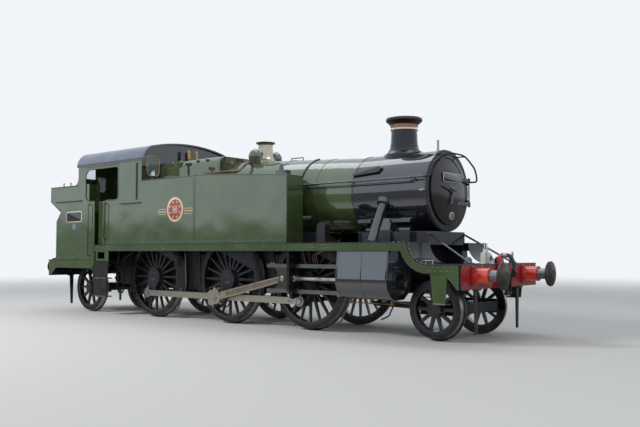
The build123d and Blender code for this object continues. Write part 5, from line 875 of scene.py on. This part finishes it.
# Valances: clusters of rivets where the sheets are joined, bolts under the edge and round the curve
CURVE_X = 5.13
for side in SIDES:
    y, out = side * PLATE_Y, (0, side, 0)
    # Middle of the cluster, number of pairs
    for x, pairs in ((-3.22, 4), (-1.275, 2), (1.07, 6), (1.66, 1), (2.16, 1), (2.8, 2), (3.13, 4)):
        for k, (dx, z) in product(range(pairs), ((0, 1.565), (0.03, 1.512))):
            green.rivet((x + (k - pairs / 2) * 0.062 + dx, y, z), out, 0.0125)
    green.row((-3.7, y, 1.578), (4.9, y, 1.578), 0.235, out, 0.006)
    green.column(5.58, y, 1.14, 1.2, 0.05, out, 0.0085)
    for k in range(7):
        green.rivet((5.2 + 0.05 * k, y, 1.2 if k % 2 else 1.15), out, 0.0125)
    for x in (5.677, -5.677):
        green.column(x, y, 0.9, 1.2, 0.075, out, 0.0085)
    for k in range(9):
        a = radians(8 + 74 * k / 8)
        green.rivet((CURVE_X - 0.385 * cos(a), y, PLATE_Z - 0.385 * sin(a)), out, 0.0075)
    # Bright screw heads along the curved plate's edge
    for k in range(7):
        a = radians(6 + 78 * k / 6)
        at = (CURVE_X - 0.35 * cos(a), side * 1.3, PLATE_Z - 0.35 * sin(a))
        steel.rivet(at, (cos(a), 0, sin(a)), 0.011)
    for x in (4.5, 4.6, 4.7):
        steel.rivet((x, side * 1.3, PLATE_Z), UP, 0.011)
    # Black edge strips of the running plate
    for x0, x1, z in ((-3.77, 4.78, 1.592), (CURVE_X, 5.735, 1.242)):
        gloss.rail(x0, x1, side * 1.341, z, 0.0035, 0.015)
    # Steps: bright tread edges and ribs
    for x, half, z in ((5.35, 0.105, 0.648), (-3.56, 0.23, 0.438), (-3.56, 0.23, 0.848)):
        steel.rail(x - half, x + half, side * 1.326, z - 0.006, 0.006, 0.014)
        for k in range(5):
            black.rail(x - half + 0.01, x + half - 0.01, side * (1.165 + 0.03 * k), z + 0.002, 0.006, 0.005)

# Beams: rivets, buffer flange nuts and the draw hooks' plates
beam_rivets, flange_nuts = Build(), Build()
for end in (-1, 1):
    x, out = end * BEAM_X, (end, 0, 0)
    for side in SIDES:
        for y in (0.24, 0.5, 1.24):
            beam_rivets.column(x, side * y, 0.9, 1.2, 0.075, out, 0.011)
        beam_rivets.row((x, side * 0.56, 1.21), (x, side * 1.2, 1.21), 0.107, out, 0.009)
        for dy, dz in product((-0.125, 0.125), repeat=2):
            flange_nuts.nut((x + end * 0.022, side * BUFFER_Y + dy, BUFFER_Z + dz), out, 0.021)
    beam_rivets.circle((x, 0, BUFFER_Z), out, 0.115, 4, 0.016, True, 0.785)
beam_rivets.make("beam_rivets", BEAM, "beam_red", smooth=60)
flange_nuts.make("buffer_flange_nuts", BEAM, "beam_red", smooth=60)

# Vacuum hoses: ribs and silver unions
ribs, unions = Build(), Build()
HOSE_RIB = ((-0.005, 0.0318), (-0.002, 0.0352), (0.002, 0.0352), (0.005, 0.0318))
for end in (-1, 1):
    way = Vector((0.5, 0.866, 0))
    root = Vector((end * 5.7685, -end * 0.13, 1.385)) + way * (end * 0.0625)
    run = ((0, 0, 0), (0.07, 0.121, 0), (0.084, 0.24, -0.15), (0.048, 0.29, -0.33))
    line = rounded([root + Vector((end * a, end * b, c)) for a, b, c in run], 0.11, 12)
    unions.turned(root, way * end, ((-0.02, 0.04), (0.03, 0.04), (0.034, 0.036), (0.05, 0.036)), 16)
    span = sum((q - p).length for p, q in zip(line, line[1:]))
    placed, at = 0.05, 0.0
    for p, q in zip(line, line[1:]):
        length = (q - p).length
        while placed < min(at + length, span - 0.05):
            ribs.turned(p.lerp(q, (placed - at) / length), q - p, HOSE_RIB, 14)
            placed += 0.018
        at += length
    foot = line[-1] + Vector((0, 0, 0.045))
    unions.turned(foot, (0, 0, -1), ((-0.004, 0.041), (0.03, 0.041), (0.034, 0.037)), 16)
ribs.make("hose_ribs", HOSE, "hose_rubber")
unions.make("hose_unions", STEEL, "rod_steel")

# Headlamp: lens and rims
lens, rim = Build(), Build()
lens_at = (5.7395, -0.37, 1.342)
lens.turned(lens_at, AHEAD, ((-0.002, 0.042), (0.004, 0.036), (0.008, 0.022), (0.009, 0.006)), 24)
LENS_RIM = ((-0.004, 0.052), (0.004, 0.052), (0.006, 0.047), (0.004, 0.043), (-0.002, 0.042))
rim.turned(lens_at, AHEAD, LENS_RIM, 28)
rim.turned((5.65, -0.37, 1.494), UP, ((0, 0.048), (0.008, 0.05), (0.012, 0.04)), 20)
lens.make("lamp_lens", PANE)
rim.make("lamp_rims", STEEL, "lamp_white")

# Front platform: tread bar with knobs
steel.tube(((4.86, -1.14, 1.3), (5.14, -1.14, 1.3)), 0.012)
for x in (4.87, 5.0, 5.13):
    steel.turned((x, -1.14, LOW_Z), UP, ((0, 0.012), (0.05, 0.01), (0.052, 0.019), (0.066, 0.017)), 12)

# Domed covers, pipes and the trailing springs
DOME = ((0, 0.095), (0.012, 0.095), (0.014, 0.08), (0.07, 0.078), (0.1, 0.06), (0.116, 0.026))
SAND_PIPE = ((0.9, 0.72, 1.44), (0.96, 0.74, 0.7), (0.7, 0.75, 0.2), (0.52, 0.75, 0.12))
INJECTOR_PIPE = (
    (-3.24, 1.06, 0.66), (-3.24, 1.06, 0.52), (-2.95, 1.12, 0.52),
    (-2.95, 1.12, 1.3), (-2.6, 1.12, 1.42), (-2.6, 1.1, 1.58),
)
INJECTOR_BRANCH = ((-3.24, 1.1, 1.0), (-3.08, 1.16, 1.0), (-3.08, 1.16, 1.5))
for side in SIDES:
    gloss.turned((5.42, side * 0.56, LOW_Z), UP, DOME, 24)
    # Lubricator pipes to the slide bars
    for x in (2.9, 2.945, 2.99):
        path = ((x, 1.21, 1.62), (x, 1.21, 1.46), (x - 0.25, 1.14, 1.38), (x - 0.25, 1.1, 1.235))
        pipes.tube(rounded(mirrored(path, side), 0.05), 0.007, 8)
    # Sand pipes before the front and rear coupled wheels
    for axle_x in (FRONT_X, REAR_X):
        gloss.tube(rounded([(axle_x + x, side * y, z) for x, y, z in SAND_PIPE], 0.12), 0.016)
    # Injector pipes looping under the cab
    pipes.tube(rounded(mirrored(INJECTOR_PIPE, side), 0.09), 0.018)
    pipes.tube(rounded(mirrored(INJECTOR_BRANCH, side), 0.06), 0.011, 8)
    coupling = ((0, 0.03), (0.05, 0.028), (0.054, 0.04), (0.07, 0.04))
    brass.turned((-3.24, side * 1.1, 0.98), (0, side, 0), coupling, 14)
    # Leaf springs over the trailing wheels
    for k in range(6):
        half, z = 0.42 - 0.055 * k, 1.14 - 0.015 * k
        turns = [pi * j / 8 for j in range(9)]
        leaf = [(TRAILING_X - half * cos(a), side * 0.545, z - 0.06 * sin(a)) for a in turns]
        black.band(leaf, 0.06, [(0, 0, -1)] * 9, 0.006, 0.007, (0, 1, 0))

# Pins on the bunker's top
for side, x in product(SIDES, (-4.9, -5.2)):
    pin = ((0, 0.014), (0.07, 0.012), (0.075, 0.02), (0.09, 0.016))
    gloss.turned((x, side * 1.27, BUNKER_TOP_Z), UP, pin, 10)

black.make("frame_rivets", GLINT_RIVET_BLACK, "black", smooth=60)
green.make("sheet_rivets", GLINT_RIVET_GREEN, "green", smooth=60)
gloss.make("black_straps", SMOKE_BLACK, "black")
strips.make("joint_strips", RUNNING_GREEN, "green")
beads.make("sheet_beading", RUNNING_GREEN, "green")
steel.make("bright_fastenings", STEEL, "rod_steel")
pipes.make("small_pipes", PIPE, "copper")
brass.make("spectacle_rims", BRASS, "brass")

# Camera at the photograph's place
camera = put("camera", bpy.data.cameras.new("camera"))
camera.location = (11.3925, -11.411, 1.45)
camera.rotation_euler = (pi / 2 + 0.05, 0, 0.695)
camera.data.lens = 756.4 / 640 * 36
camera.data.sensor_width = 36
camera.data.clip_end = 500
scene.camera = camera

# Pale floor that runs into the pale background with no horizon line
SKY = (0.93, 0.96, 1.0, 1)
floor_mesh = bpy.data.meshes.new("floor")
floor_mesh.from_pydata([(-90, -90, 0), (90, -90, 0), (90, 90, 0), (-90, 90, 0)], [], [(0, 1, 2, 3)])
floor = put("floor", floor_mesh)
look = Look("floor_pale")
look.fill(look.shader, Base_Color=(0.66, 0.66, 0.65, 1), Roughness=0.9)
far = look.node("VectorMath")
far.operation = "LENGTH"
look.feed(far.inputs[0], look.coords["Object"])
rays = look.node("LightPath").outputs
seen = look.math("ADD", rays["Is Camera Ray"], rays["Is Glossy Ray"])
seen = look.math("MINIMUM", look.math("ADD", seen, rays["Is Transmission Ray"]), 1.0)
glow = look.node("Emission", Color=SKY, Strength=look.ramp(rays["Is Camera Ray"], 0, 1, 0.2, 0.95))
reach = look.math("MULTIPLY", far.outputs["Value"], look.ramp(rays["Is Glossy Ray"], 0, 1, 1.0, 4.0))
blend = look.node("MixShader")
look.feed(blend.inputs[0], look.math("MULTIPLY", look.ramp(reach, 11, 34), seen))
look.feed(blend.inputs[1], look.shader.outputs[0])
look.feed(blend.inputs[2], glow.outputs[0])
look.fill(look.tree.nodes["Material Output"], Surface=blend.outputs[0])
floor_mesh.materials.append(look.made)

# World: a plain pale backdrop, darker low down in reflections
sky = Look("studio", bpy.data.worlds, "Background")
scene.world = sky.made
rays = sky.node("LightPath").outputs
way = sky.node("SeparateXYZ", Vector=sky.coords["Generated"]).outputs["Z"]
strength = sky.node("MapRange", Value=way, From_Min=0.022, From_Max=0.055, To_Min=0.2, To_Max=0.95).outputs[0]
for ray, level in (("Is Diffuse Ray", 0.42), ("Is Camera Ray", 0.95)):
    pick = sky.node("Mix")
    pick.data_type = "FLOAT"
    for k, value in ((0, rays[ray]), (2, strength), (3, level)):
        sky.feed(pick.inputs[k], value)
    strength = pick.outputs[0]
sky.fill(sky.shader, Color=sky.mix(rays["Is Glossy Ray"], SKY, (0.8, 0.89, 1.0, 1)), Strength=strength)


def softbox(name, place, target, size, power, glints=True):
    light = bpy.data.lights.new(name, "AREA")
    light.shape = "RECTANGLE"
    light.size, light.size_y = size
    light.energy = power
    lamp = put(name, light)
    lamp.location = place
    lamp.visible_glossy = glints
    lamp.rotation_euler = (Vector(target) - Vector(place)).to_track_quat("-Z", "Y").to_euler()


softbox("key", (-8, -16, 13), (0, 0, 1.5), (5, 4), 2700, False)
softbox("fill", (14, -9, 5), (3, 0, 1.8), (6, 5), 160, False)
softbox("top", (0, 2, 13), (0, 0, 2), (14, 5), 380)

scene.view_settings.view_transform = "Standard"
